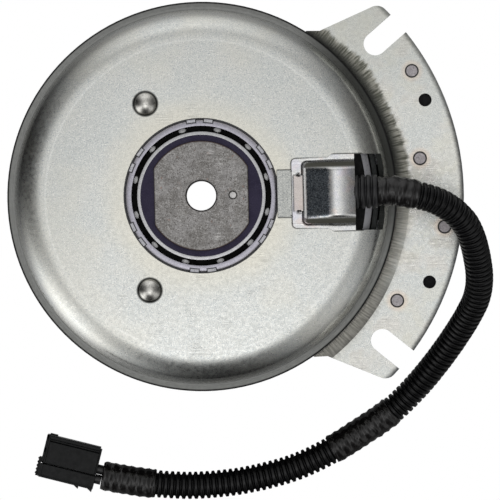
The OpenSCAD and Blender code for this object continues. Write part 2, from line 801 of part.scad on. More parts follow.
cup_housing();
field_shell();
coil_bobbin();
coil_winding();
coil_potting();
cup_rivets();
brake_plate();
brake_magnets();
brake_pole_shoes();
brake_rivets();
field_bearing_outer_ring();
field_bearing_inner_ring();
field_bearing_balls();
field_bearing_cage();
rotor_hub();
hub_retaining_washer();
rotor_disc();
friction_ring();
armature_plate();
armature_rivets();
leaf_springs();
spring_rivets();
pulley_hub();
upper_sheave();
lower_sheave();
sheave_rivets();
pulley_bearing_outer_ring();
pulley_bearing_inner_ring();
pulley_bearing_balls();
pulley_bearing_cages();
upper_bearing_seal();
lower_bearing_seal();
hub_circlip();
bearing_circlip();
cable_cover();
cable_grommet();
lead_wires();
cable_sleeve();
cover_end_tape();
middle_tape();
connector_end_tape();
connector_body();
connector_lock();
connector_terminals();
connector_leads();
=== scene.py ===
"""Looks of the electromagnetic clutch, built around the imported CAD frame.

The camera and the cable come first, then the formed sheet cover, the grommet and the connector,
then the edges and materials of the CAD nodes, and at the end the floor and the light.
Lengths are in millimetres in the tables below and in metres in Blender.
"""

import json
import math

import bpy
from mathutils import Matrix, Vector, noise


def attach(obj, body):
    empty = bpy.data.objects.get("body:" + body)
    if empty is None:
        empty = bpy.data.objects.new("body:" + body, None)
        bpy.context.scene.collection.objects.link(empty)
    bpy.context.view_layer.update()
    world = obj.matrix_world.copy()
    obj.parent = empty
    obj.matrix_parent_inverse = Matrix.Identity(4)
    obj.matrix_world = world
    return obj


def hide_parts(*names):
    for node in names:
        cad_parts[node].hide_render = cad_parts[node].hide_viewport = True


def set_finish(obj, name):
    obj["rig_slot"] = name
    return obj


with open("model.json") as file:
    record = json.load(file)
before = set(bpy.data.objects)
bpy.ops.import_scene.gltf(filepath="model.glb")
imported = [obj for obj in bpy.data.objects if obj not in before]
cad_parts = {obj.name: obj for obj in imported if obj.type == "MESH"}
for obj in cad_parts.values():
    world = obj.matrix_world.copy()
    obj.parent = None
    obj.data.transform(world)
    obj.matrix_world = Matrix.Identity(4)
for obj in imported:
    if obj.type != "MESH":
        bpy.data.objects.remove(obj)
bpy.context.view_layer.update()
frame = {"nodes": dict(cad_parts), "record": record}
SCENE = bpy.context.scene
MM = 0.001
SLOT_OF_NODE = {part["node"]: part["material_slot"] for part in frame["record"]["subparts"]}

# Cable: the route's points, its sizes and the three taped stretches, as in the CAD
ROUTE = [
    (66.8, 0, 77), (70.4, 0, 77), (74, 0, 77), (82, -1.8, 76), (89, -4, 74), (95, -7.5, 70.5),
    (100, -12.5, 65.5), (103, -18.5, 59.5), (105, -26, 52), (106, -34, 44.5), (105, -41.5, 37),
    (101.5, -49, 29.5), (96.5, -57, 22), (90, -66, 15), (82, -75.5, 9.5), (72, -85, 6.5),
    (60, -93, 5.8), (48, -100, 5.8), (36, -105.5, 5.8), (24, -109, 5.8), (10, -111.5, 5.8),
    (-6, -112.5, 5.8), (-21, -111.5, 5.8), (-31, -110, 5.8), (-41.9, -107.8, 5.8),
]
SLEEVE_RADIUS = 5.35
RIB_PITCH = 2.35
RIB_DEPTH = 1.15
TAPE_RADIUS = 5.62
TAPED = {"cover_end_tape": (0, 3), "middle_tape": (15, 17), "connector_end_tape": (22, 24)}

# Cable cover: lengths along X and half widths across it
CUP_TOP = 73
COVER_SHEET = 1.2
TONGUE_START, FRAME_START, TAB_START, COVER_END = 29.0, 34.5, 47.8, 58.4
TONGUE_HALF, FRAME_HALF, TAB_HALF = 9.1, 13.1, 14.5
RAMP_FOOT, RAMP_END, CROWN = 39.4, 47.2, 51.2
HUMP_HALF = 11.8
FLANK_WIDTH = 3.9
BAR_HALF = 7.0
COVER_REACH = 62

# What the zinc's materials follow: heights where the cup's rim turns into its wall, the crease round
# its top face, the slight dome of that face, the flange's upper face, and the size and range of gloss
RIM_HEIGHTS = (39.4, 40.2)
CREASE_RADIUS = 59.7
DOME_RADIUS, DOME_RISE = 60, 1.6
FLANGE_TOP = 39.5
ZINC_GLOSS = (1.4, 0.24, 0.36)

# Connector: its middle on the ground, its turn, and its outside sizes
PLUG_AT = (-54.3, -102.1, 0)
PLUG_TURN = 164.7
PLUG_LENGTH, PLUG_WIDTH, PLUG_HEIGHT = 22, 17, 11.5
LOCK_LINE = 2.8

# Middles of the two round rivet heads on the cup
CUP_RIVETS = [(41 * math.cos(math.radians(a)), 41 * math.sin(math.radians(a))) for a in (120, 240)]


# ---------- meshes ----------

def new_piece(name, verts, faces, body="housing"):
    """A smooth mesh object from points in millimetres, riding on a body."""
    mesh = bpy.data.meshes.new(name)
    mesh.from_pydata([Vector(v) * MM for v in verts], [], faces)
    mesh.validate()
    mesh.polygons.foreach_set("use_smooth", [True] * len(mesh.polygons))
    obj = bpy.data.objects.new(name, mesh)
    SCENE.collection.objects.link(obj)
    if body:
        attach(obj, body)
    return obj


def bevel(obj, name, width, segments=2, angle=35):
    """Rounds the edges of an object that are sharper than an angle in degrees."""
    modifier = obj.modifiers.new(name, "BEVEL")
    modifier.width = width * MM
    modifier.segments = segments
    modifier.limit_method = "ANGLE"
    modifier.angle_limit = math.radians(angle)
    return modifier


def round_edges(obj, width):
    """Rounds the sharp edges of an object, and keeps its flat faces flat."""
    for polygon in obj.data.polygons:
        polygon.use_smooth = True
    bevel(obj, "rounded_edges", width).harden_normals = True


def soften_cad(obj, width):
    """Joins a CAD node's split edges and rounds them by modifiers, so its own mesh stays as it is."""
    if "custom_normal" in obj.data.attributes:
        obj.data.attributes.remove(obj.data.attributes["custom_normal"])
    weld = obj.modifiers.new("joined_edges", "WELD")
    weld.merge_threshold = 0.002 * MM
    round_edges(obj, width)


def smooth_step(low, high, value):
    """0 below low, 1 above high, and an even S between them."""
    share = min(max((value - low) / (high - low), 0.0), 1.0)
    return share * share * (3 - 2 * share)


def route_points(steps):
    """The cable's middle line: a Catmull-Rom curve through the route's points."""
    points = [Vector(p) for p in ROUTE]
    last = len(points) - 1
    line = []
    for i in range(last):
        a, b = points[max(i - 1, 0)], points[i]
        c, d = points[i + 1], points[min(i + 2, last)]
        for step in range(steps):
            t = step / steps
            line.append(0.5 * (2 * b + (c - a) * t + (2 * a - 5 * b + 4 * c - d) * t * t
                               + (3 * b - a - 3 * c + d) * t * t * t))
    line.append(points[last])
    return line


class Line:
    """A polyline that can be asked for the point and direction at a distance from its start."""

    def __init__(self, points):
        self.points = points
        self.at = [0.0]
        for a, b in zip(points, points[1:]):
            self.at.append(self.at[-1] + (b - a).length)
        self.length = self.at[-1]
        self.cursor = 0

    def place(self, distance):
        """Point and direction at that distance."""
        distance = min(max(distance, 0.0), self.length)
        if distance < self.at[self.cursor]:
            self.cursor = 0
        while self.cursor < len(self.points) - 2 and self.at[self.cursor + 1] < distance:
            self.cursor += 1
        i = self.cursor
        a, b = self.points[i], self.points[i + 1]
        share = (distance - self.at[i]) / (self.at[i + 1] - self.at[i])
        before = self.points[max(i - 1, 0)]
        after = self.points[min(i + 2, len(self.points) - 1)]
        direction = (b - before).normalized().lerp((after - a).normalized(), share)
        return a.lerp(b, share), direction.normalized()


def tube(name, line, stations, sides, radius_at):
    """A swept tube with closed ends. radius_at gives the radius at a station and an angle round the tube."""
    verts, faces = [], []
    for station in stations:
        centre, direction = line.place(station)
        side = direction.cross(Vector((0, 0, 1))).normalized()
        up = side.cross(direction)
        for k in range(sides):
            angle = 2 * math.pi * k / sides
            radius = radius_at(station, angle)
            verts.append(centre + radius * (math.cos(angle) * side + math.sin(angle) * up))
    for i in range(len(stations) - 1):
        for k in range(sides):
            m = (k + 1) % sides
            faces.append((i * sides + k, i * sides + m, (i + 1) * sides + m, (i + 1) * sides + k))
    faces.append(tuple(range(sides - 1, -1, -1)))
    faces.append(tuple((len(stations) - 1) * sides + k for k in range(sides)))
    return new_piece(name, verts, faces)


def lathe(name, profile, sides=96):
    """A closed ring turned about Z from (radius, height) points."""
    count = len(profile)
    verts = [
        (r * math.cos(2 * math.pi * k / sides), r * math.sin(2 * math.pi * k / sides), z)
        for k in range(sides) for r, z in profile
    ]
    faces = []
    for k in range(sides):
        m = (k + 1) % sides
        for i in range(count):
            j = (i + 1) % count
            faces.append((k * count + i, m * count + i, m * count + j, k * count + j))
    return new_piece(name, verts, faces, body=None)


def prism(profile, start, end):
    """Points and faces of a profile in the YZ plane, drawn along X."""
    count = len(profile)
    verts = [(x, y, z) for x in (start, end) for y, z in profile]
    faces = [tuple(range(count)), tuple(range(2 * count - 1, count - 1, -1))]
    for i in range(count):
        j = (i + 1) % count
        faces.append((i, i + count, j + count, j))
    return verts, faces


def join(parts):
    """One list of points and faces from several."""
    verts, faces = [], []
    for part_verts, part_faces in parts:
        offset = len(verts)
        verts += part_verts
        faces += [tuple(i + offset for i in face) for face in part_faces]
    return verts, faces


def block(x0, x1, y0, y1, z0, z1):
    """Points and faces of a box."""
    return prism([(y0, z0), (y1, z0), (y1, z1), (y0, z1)], x0, x1)


# ---------- camera ----------

def add_camera():
    """A long lens straight above the clutch, turned a little like the object."""
    data = bpy.data.cameras.new("camera")
    data.sensor_width = 36
    data.lens = 460
    data.clip_start = 0.1
    data.clip_end = 20
    camera = bpy.data.objects.new("camera", data)
    camera.location = (0.0180, -0.0211, 2.503)
    camera.rotation_euler = (0, 0, math.radians(-1.4))
    SCENE.collection.objects.link(camera)
    SCENE.camera = camera


# ---------- cable ----------

def rib_radius():
    """Radius of the corrugated sleeve: wide flat ribs, narrow grooves and a slit along one side."""
    slit_angle = math.radians(250)

    def radius(station, angle):
        phase = (station / RIB_PITCH) % 1.0
        height = smooth_step(0.0, 0.20, phase) * (1 - smooth_step(0.60, 0.84, phase))
        lean = 0.06 * noise.noise(Vector((station * 0.21, math.cos(angle), math.sin(angle))))
        turn = abs((angle - slit_angle + math.pi) % (2 * math.pi) - math.pi)
        slit = 0.5 * (1 - smooth_step(0.04, 0.10, turn))
        return SLEEVE_RADIUS - RIB_DEPTH * (1 - height) + lean - slit

    return radius


def tape_radius(start, end, seed):
    """Radius of a taped stretch: wound laps, creases, dents over the ribs and frayed ends."""
    lap_pitch, dent_pitch = 7.5, 3.3

    def radius(station, angle):
        around = Vector((math.cos(angle), math.sin(angle), 0))
        dents = 0.16 * math.cos(2 * math.pi * station / dent_pitch + 1.5 * math.sin(angle + seed))
        lap = ((station / lap_pitch) + angle / (2 * math.pi)) % 1.0
        step = 0.16 * (1 - smooth_step(0.0, 0.07, lap)) - 0.16 * smooth_step(0.93, 1.0, lap)
        crease = noise.noise(Vector((station * 0.35, seed, 0)) + 1.7 * around)
        wrinkle = noise.noise(Vector((station * 0.9 + 2.0 * angle, seed, 3)) + 3.1 * around)
        ends = min(station - start, end - station)
        fray = 0.35 * (1 - smooth_step(0.0, 0.7, ends))
        return TAPE_RADIUS + dents + step + 0.18 * crease + 0.12 * wrinkle - fray

    return radius


def even_stations(start, end, count):
    """Distances from start to end in even steps."""
    return [start + (end - start) * i / count for i in range(count + 1)]


def add_cable():
    """The corrugated sleeve along the whole route and the tape wound round three stretches."""
    curve_steps, steps_per_rib, tape_step = 8, 12, 0.3
    points = route_points(curve_steps)
    line = Line(points)
    stations = even_stations(0, line.length, int(line.length / (RIB_PITCH / steps_per_rib)))
    sleeve = tube("corrugated_sleeve", line, stations, 40, rib_radius())
    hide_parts("cable_sleeve")
    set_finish(sleeve, "sleeve_plastic")

    tapes = []
    for seed, (node, (first, last)) in enumerate(TAPED.items()):
        start, end = line.at[first * curve_steps], line.at[last * curve_steps]
        stations = even_stations(start, end, int((end - start) / tape_step))
        tape = tube(node + "_wrap", line, stations, 64, tape_radius(start, end, 5.0 * seed))
        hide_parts(node)
        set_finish(tape, "black_tape")
        tapes.append(tape)
    return sleeve, tapes, points, line.length


# ---------- cable cover and grommet ----------

def lower_of(first, second, blend):
    """The lower of two heights, rounded over where they meet."""
    share = max(blend - abs(first - second), 0.0) / blend
    return min(first, second) - share * share * blend / 4


def hump_line(x):
    """Height of the hump along its middle: a low step, a ramp, a round crown and a slight fall."""
    slope, step = 0.97, 1.5
    turn = math.atan(slope)
    radius = (CROWN - RAMP_END) / math.sin(turn)
    top = step + slope * (RAMP_END - RAMP_FOOT) + radius * (1 - math.cos(turn))
    if x < RAMP_END:
        return slope * (x - RAMP_FOOT) + step * smooth_step(RAMP_FOOT - 0.1, RAMP_FOOT + 0.7, x)
    if x < CROWN:
        return top - radius + math.sqrt(radius ** 2 - (CROWN - x) ** 2)
    return top - 0.040 * (x - CROWN) ** 2


def flank(across):
    """Share of the hump's height at a distance from its middle: steep at the wall, rounded at the top."""
    inward = min(max((HUMP_HALF - across) / FLANK_WIDTH, 0.0), 1.0)
    return 1 - (1 - inward) ** 3


def cut_line(x, y):
    """Distance from the sheared line that frees the hump's corners from the frame."""
    corner = 1.8
    ahead = RAMP_FOOT - 0.9 + corner - x
    aside = abs(y) - (HUMP_HALF + 0.2 - corner)
    outside = math.hypot(max(ahead, 0.0), max(aside, 0.0))
    return abs(outside + min(max(ahead, aside), 0.0) - corner)


def cover_height(x, y):
    """Height of the cover's upper face over the cup at a place."""
    across = abs(y)
    hump = hump_line(x) * flank(across) if across < HUMP_HALF else -5.0 * (across - HUMP_HALF)
    height = -lower_of(-hump, 0.0, 0.5)
    bar_depth, groove_depth, tear_at = 0.40, 0.75, 37.1
    on_bar = 1 - smooth_step(BAR_HALF - 0.15, BAR_HALF + 0.15, across)
    height -= bar_depth * on_bar * smooth_step(34.8, 35.2, x) * (1 - smooth_step(38.5, 39.2, x))
    if across > BAR_HALF - 0.2:
        height -= groove_depth * (1 - smooth_step(0.12, 0.42, cut_line(x, y)))
    tear = math.hypot((x - tear_at) / 1.3, across - BAR_HALF - 0.1)
    ragged = noise.noise(Vector((1.9 * x, 1.9 * y, 1.0)))
    height += (0.9 * ragged - 0.35) * (1 - smooth_step(0.35, 0.95, tear))
    return CUP_TOP + COVER_SHEET + height


def cover_half_width(x):
    """Half width of the cover at a place along it."""
    half = FRAME_HALF + 0.3 * smooth_step(FRAME_START, TAB_START, x)
    half += (TAB_HALF - FRAME_HALF - 0.3) * smooth_step(TAB_START, TAB_START + 2.4, x)
    corner = 1.5
    if x < FRAME_START + corner:
        half -= corner * (1 - math.sqrt(max(0.0, 1 - ((FRAME_START + corner - x) / corner) ** 2)))
    return half


def add_cover():
    """The folded sheet cap as one formed sheet: a tongue, a flat frame and a hump open at its end."""
    spacing = 0.21
    xs = even_stations(TONGUE_START, COVER_END, int((COVER_END - TONGUE_START) / spacing))
    xs = sorted(set([round(x, 4) for x in xs if abs(x - FRAME_START) > spacing / 2] + [FRAME_START]))
    rows = 148
    shares = [-1 + 2 * j / rows for j in range(rows + 1)]
    tongue_share = TONGUE_HALF / FRAME_HALF

    verts, index, faces = [], {}, []
    for i, x in enumerate(xs):
        for j, share in enumerate(shares):
            in_tongue = x < FRAME_START
            if in_tongue and abs(share) > tongue_share + 1 / rows:
                continue
            half = FRAME_HALF if in_tongue else cover_half_width(x)
            y = share * half
            if abs(abs(share) - tongue_share) <= 1 / rows and x <= FRAME_START:
                y = math.copysign(TONGUE_HALF, share)
            z = cover_height(x, y)
            if x < FRAME_START - 0.2:
                dimple = math.hypot((x - 31.8) / 1.5, y / 6.8)
                z -= 0.45 + 0.12 * (1 - smooth_step(0.0, 1.0, dimple))
            lift = smooth_step(46, 52, x) * smooth_step(FRAME_HALF - 1.2, FRAME_HALF, abs(y))
            z += 0.15 * lift
            index[i, j] = len(verts)
            verts.append((x, y, z))
    for i in range(len(xs) - 1):
        for j in range(rows):
            corners = [(i, j), (i + 1, j), (i + 1, j + 1), (i, j + 1)]
            if all(c in index for c in corners):
                faces.append(tuple(index[c] for c in corners))
    cover = new_piece("formed_cover", verts, faces)
    sheet = cover.modifiers.new("sheet_thickness", "SOLIDIFY")
    sheet.thickness = 0.7 * MM
    sheet.offset = -1
    bevel(cover, "sheared_edges", 0.20, segments=3, angle=60)
    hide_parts("cable_cover")
    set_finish(cover, "bright_zinc_steel")
    return cover


def add_grommet():
    """The moulded rubber grommet, with rounded ribs and a lip against the cover."""
    start, end, radius, bore = 58.0, 66.8, 6.45, 3.4
    profile = [(bore, 0), (radius - 0.3, 0), (radius, 0.3)]
    for rib in range(3):
        base = 1.5 + 2.3 * rib
        for step in range(9):
            angle = math.pi * step / 8
            profile.append((radius - 0.75 * math.sin(angle) ** 0.7, base + 1.1 * step / 8))
        profile.append((radius - 0.02, base + 1.4))
    profile += [(radius, end - start - 0.3), (radius - 0.3, end - start), (bore, end - start)]
    grommet = lathe("ribbed_grommet", profile)
    turn = Matrix.Translation(Vector((start, 0, 77)) * MM) @ Matrix.Rotation(math.pi / 2, 4, "Y")
    grommet.data.transform(turn)
    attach(grommet, "housing")
    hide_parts("cable_grommet")
    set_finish(grommet, "grommet_rubber")
    return grommet


# ---------- connector ----------

def finish_plug(name, parts, edge, node):
    """One piece of the connector, turned into its place on the ground, with rounded edges."""
    verts, faces = join(parts)
    piece = new_piece(name, verts, faces)
    turn = Matrix.Rotation(math.radians(PLUG_TURN), 4, "Z")
    piece.data.transform(Matrix.Translation(Vector(PLUG_AT) * MM) @ turn)
    piece.data.update()
    round_edges(piece, edge)
    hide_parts(node)
    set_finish(piece, "connector_plastic")
    return piece


def add_plug_body():
    """Main side of the connector: a rim along one edge, a sunk band, a flat face and a collar."""
    half_w, half_l = PLUG_WIDTH / 2, PLUG_LENGTH / 2
    face, rim = PLUG_HEIGHT - 0.5, PLUG_HEIGHT + 0.8
    seam, top, middle = LOCK_LINE - 0.15, face + 0.25, PLUG_HEIGHT / 2
    section = [
        (-half_w, 0.4), (-half_w + 0.4, 0), (seam, 0), (seam, face - 0.2),
        (LOCK_LINE - 0.35, face), (-half_w + 2.6, face + 0.1), (-half_w + 2.2, face - 0.5),
        (-half_w + 1.6, face - 0.5), (-half_w + 1.3, rim), (-half_w + 0.3, rim), (-half_w, rim - 0.3),
    ]
    parts = [
        prism(section, -half_l + 0.6, half_l - 1.6),
        block(-half_l, -half_l + 0.61, -half_w + 0.8, seam, 0, face - 0.6),
        block(half_l - 1.61, half_l - 0.9, -half_w, seam, 0, top),
    ]
    left_mouth, right_mouth, mouth_y, mouth_z = -5, 0.2, 1.7, 3.0
    pillars = [
        (-half_w, left_mouth - mouth_y),
        (left_mouth + mouth_y, right_mouth - mouth_y),
        (right_mouth + mouth_y, seam),
    ]
    for low, high in pillars:
        parts.append(block(half_l - 0.91, half_l, low, high, 0, top))
    for low, high in ((0, middle - mouth_z), (middle + mouth_z, top)):
        parts.append(block(half_l - 0.9, half_l - 0.01, -half_w + 0.01, LOCK_LINE - 0.16, low, high))
    parts.append(block(half_l - 4, half_l - 1, -half_w - 0.6, -half_w + 0.1, 3, 8.5))
    return finish_plug("connector_shell", parts, 0.18, "connector_body")


def add_plug_lock():
    """The snap-on lock: a lower strip with a rounded outer edge, a front nose and two teeth."""
    half_w, half_l = PLUG_WIDTH / 2, PLUG_LENGTH / 2
    top = PLUG_HEIGHT - 1.1
    inner = LOCK_LINE + 0.15
    section = [(inner, 0), (half_w - 0.5, 0), (half_w, 0.5), (half_w, top - 2.2)]
    for step in range(1, 6):
        angle = math.pi / 2 * step / 5
        section.append((half_w - 1.6 + 1.6 * math.cos(angle), top - 1.8 + 1.6 * math.sin(angle)))
    section += [(inner + 0.25, top), (inner, top - 0.25)]
    parts = [prism(section, -half_l, half_l - 0.3)]
    parts.append(block(half_l - 0.4, half_l + 0.5, inner + 0.3, half_w - 0.3, 2.5, 9.0))
    parts.append(block(half_l + 0.1, half_l + 1.05, 0.7, half_w - 0.3, 2.5, 9.0))
    for rib in range(5):
        y = 1.0 + rib * 1.45
        parts.append(block(half_l + 0.9, half_l + 1.35, y, y + 0.65, 2.5, 9.2))
    parts.append(block(half_l - 1.2, half_l + 0.2, inner + 0.3, half_w - 0.3, 8.8, top + 0.25))
    for x in (0.2, 5.6):
        tooth = [(-half_l + x, 0.0), (-half_l + x, 1.05), (-half_l + x + 2.6, 0.0)]
        low, high = 3, 8
        verts = [(px, half_w - 0.4 + (py + 0.4 if py else 0.0), z) for z in (low, high) for px, py in tooth]
        faces = [(0, 1, 2), (5, 4, 3), (0, 3, 4, 1), (1, 4, 5, 2), (2, 5, 3, 0)]
        parts.append((verts, faces))
    return finish_plug("connector_snap_lock", parts, 0.15, "connector_lock")


# ---------- node trees ----------

class Value:
    """A number in a node tree, which can be counted with like any other number."""

    def __init__(self, nodes, socket):
        self.nodes = nodes
        self.socket = socket

    def __add__(self, other):
        return self.nodes.math("ADD", self, other)

    def __sub__(self, other):
        return self.nodes.math("SUBTRACT", self, other)

    def __rsub__(self, other):
        return self.nodes.math("SUBTRACT", other, self)

    def __mul__(self, other):
        return self.nodes.math("MULTIPLY", self, other)

    def __pow__(self, other):
        return self.nodes.math("POWER", self, other)

    def __abs__(self):
        return self.nodes.math("ABSOLUTE", self)

    def range(self, low, high, to_low=0.0, to_high=1.0):
        """The number mapped from one range to another, smoothly and clamped."""
        node = self.nodes.add("MapRange", interpolation_type="SMOOTHSTEP")
        for socket, given in zip(node.inputs, (self, low, high, to_low, to_high)):
            self.nodes.set(socket, given)
        return Value(self.nodes, node.outputs["Result"])

    def fade(self, low, high, top=1.0):
        """The top value where the number is below low, falling smoothly to 0 above high."""
        return self.range(low, high, top, 0.0)

    def band(self, start, full, ebb, end, top=1.0):
        """The top value from full to ebb, and 0 before the start and after the end."""
        return self.range(start, full) * self.fade(ebb, end, top)


class Nodes:
    """Short calls for building a node tree."""

    def __init__(self, tree):
        self.tree = tree

    def add(self, kind, **settings):
        """A new node with its settings."""
        node = self.tree.nodes.new("ShaderNode" + kind)
        for name, value in settings.items():
            setattr(node, name, value)
        return node

    def set(self, socket, value):
        """Joins a socket to another, or gives it a number or colour."""
        if isinstance(value, Value):
            value = value.socket
        if isinstance(value, bpy.types.NodeSocket):
            self.tree.links.new(value, socket)
        else:
            socket.default_value = value

    def math(self, operation, *values):
        """One math node."""
        node = self.add("Math", operation=operation)
        for socket, value in zip(node.inputs, values):
            self.set(socket, value)
        return Value(self, node.outputs[0])

    def vector(self, operation, first, second=(0, 0, 0)):
        """One vector math node: a number for a dot product or a distance, else a vector."""
        node = self.add("VectorMath", operation=operation)
        self.set(node.inputs[0], first)
        node.inputs[1].default_value = second
        if operation in ("DOT_PRODUCT", "DISTANCE"):
            return Value(self, node.outputs["Value"])
        return node.outputs["Vector"]

    def parts(self, vector):
        """The x, y and z of a vector."""
        node = self.add("SeparateXYZ")
        self.set(node.inputs[0], vector)
        return [Value(self, output) for output in node.outputs]


# ---------- materials ----------

def grey(value):
    """A neutral colour."""
    return (value, value, value)


class Finish(Nodes):
    """A material with its tone, the colour made so far, and with short calls for patterns.

    x, y, radius and height say where the surface is, in millimetres from the shaft's axis and from the
    ground, and angle says how far round the axis, in radians.
    """

    def __init__(self, name, metallic=0.0, coat=0.0, coat_roughness=0.1, specular=0.5):
        self.material = bpy.data.materials.new(name)
        self.material.use_nodes = True
        super().__init__(self.material.node_tree)
        self.shader = self.tree.nodes["Principled BSDF"]
        self.drive("Metallic", metallic)
        self.drive("Coat Weight", coat)
        self.drive("Coat Roughness", coat_roughness)
        self.drive("Specular IOR Level", specular)
        self.tone = None
        self.place = self.add("TexCoord").outputs["Object"]
        x, y, z = self.parts(self.place)
        self.x, self.y, self.height = [value * (1 / MM) for value in (x, y, z)]
        squares = x * x + y * y
        self.radius = self.math("SQRT", squares) * (1 / MM)
        self.angle = self.math("ARCTAN2", y, x)

    def drive(self, socket, value):
        """Drives one of the shader's inputs."""
        self.set(self.shader.inputs[socket], value)

    def noise(self, size, detail=2.0, stretch=(1, 1, 1), turn=(0, 0, 0), at=None):
        """Noise from 0 to 1 with spots about size millimetres wide."""
        mapping = self.add("Mapping")
        self.set(mapping.inputs["Vector"], at or self.place)
        mapping.inputs["Scale"].default_value = [s / (size * MM) for s in stretch]
        mapping.inputs["Rotation"].default_value = [math.radians(t) for t in turn]
        node = self.add("TexNoise")
        self.set(node.inputs["Vector"], mapping.outputs["Vector"])
        node.inputs["Scale"].default_value = 1.0
        node.inputs["Detail"].default_value = detail
        return Value(self, node.outputs["Fac"])

    def mix(self, share, first, second):
        """Mixes two colours."""
        node = self.add("Mix", data_type="RGBA")
        for index, value in ((0, share), (6, self.colour(first)), (7, self.colour(second))):
            self.set(node.inputs[index], value)
        return node.outputs[2]

    def tint(self, share, colour):
        """Mixes a share of a colour into the tone."""
        self.tone = self.mix(share, self.tone, colour)

    @staticmethod
    def colour(value):
        """Adds alpha to a plain colour."""
        if isinstance(value, bpy.types.NodeSocket):
            return value
        return (*value, 1.0)

    def speckled(self, tones, spot=0.55, cloud=9.0):
        """A mottled colour: broad clouds of two tones with fine spots of a third and a fourth."""
        clouds = self.noise(cloud, 4.0)
        colour = self.mix(clouds.range(0.35, 0.65), tones[0], tones[1])
        spots = self.noise(spot, 1.0)
        colour = self.mix(spots.range(0.52, 0.72), colour, tones[2])
        return self.mix(spots.fade(0.28, 0.44), colour, tones[3])

    def around(self):
        """A place made of distance from the axis and length round it, in metres, for turned marks."""
        length_per_radian = 0.07
        node = self.add("CombineXYZ")
        self.set(node.inputs[0], self.radius * MM)
        self.set(node.inputs[1], self.angle * length_per_radian)
        return node.outputs[0]

    def distance(self, x, y):
        """Distance in millimetres from an upright line through a place given in millimetres."""
        flat = self.vector("MULTIPLY", self.place, (1, 1, 0))
        return self.vector("DISTANCE", flat, (x * MM, y * MM, 0)) * (1 / MM)

    def steepness(self, flat, steep):
        """0 where the normal's upward share is above flat, and 1 where it is below steep."""
        upward = self.parts(self.add("TexCoord").outputs["Normal"])[2]
        return upward.fade(steep, flat)

    def box_distance(self, start, end, half, corner):
        """Distance in millimetres outside a round-cornered box that reaches from start to end along X."""
        sides = []
        for value, middle, reach in ((self.x, (start + end) / 2, (end - start) / 2), (self.y, 0, half)):
            sides.append(abs(value - middle) - (reach - corner))
        squares = [self.math("MAXIMUM", side, 0.0) ** 2.0 for side in sides]
        outside = self.math("SQRT", squares[0] + squares[1])
        inside = self.math("MINIMUM", self.math("MAXIMUM", *sides), 0.0)
        return outside + inside - corner

    def bump(self, height, depth):
        """Bump of that depth in millimetres, on top of any bump given before."""
        node = self.add("Bump")
        node.inputs["Strength"].default_value = 1.0
        node.inputs["Distance"].default_value = depth * MM
        self.set(node.inputs["Height"], height)
        before = self.shader.inputs["Normal"].links
        if before:
            self.set(node.inputs["Normal"], before[0].from_socket)
        self.drive("Normal", node.outputs["Normal"])

    def grain(self, size, depth, detail=2.0, **pattern):
        """Bump of noise."""
        self.bump(self.noise(size, detail, **pattern), depth)

    def rings(self, depth):
        """Bump of fine turned rings round the axis."""
        self.grain(0.30, depth, stretch=(1, 0.02, 0.5), at=self.around())

    def gloss(self, size, low, high, detail=3.0, extra=None):
        """Roughness from low to high in clouds about size millimetres wide, and any extra on top."""
        rough = self.noise(size, detail).range(0.3, 0.7, low, high)
        self.drive("Roughness", rough if extra is None else rough + extra)

    def done(self):
        """Colours the surface, and gives the material."""
        self.drive("Base Color", self.colour(self.tone))
        return self.material


def scratches(finish, size, turn, amount=0.03):
    """Thin straight marks in one direction, broken up so that they start and stop."""
    lines = finish.noise(size, 1.0, stretch=(0.035, 1, 1), turn=(0, 0, turn))
    thin = abs(lines - 0.5).fade(0.0, amount)
    patches = finish.noise(9.0, 2.0).range(0.56, 0.68)
    return thin * patches


def zinc_finish(name):
    """Satin zinc plating: pale, mottled, faintly yellow in places, finely grained and scratched."""
    finish = Finish(name, metallic=1.0)
    tones = ((0.64, 0.66, 0.64), (0.67, 0.68, 0.65), (0.84, 0.83, 0.79), (0.45, 0.48, 0.50))
    finish.tone = finish.speckled(tones, spot=0.42, cloud=14.0)
    yellow = finish.noise(30.0).range(0.45, 0.62)
    finish.tint(yellow * 0.25, (0.74, 0.71, 0.61))
    finish.grain(0.40, 0.016)
    finish.grain(2.6, 0.012, 3.0)
    marks = finish.math("MAXIMUM", scratches(finish, 1.1, 20), scratches(finish, 1.3, -50))
    finish.bump(marks, -0.02)
    return finish


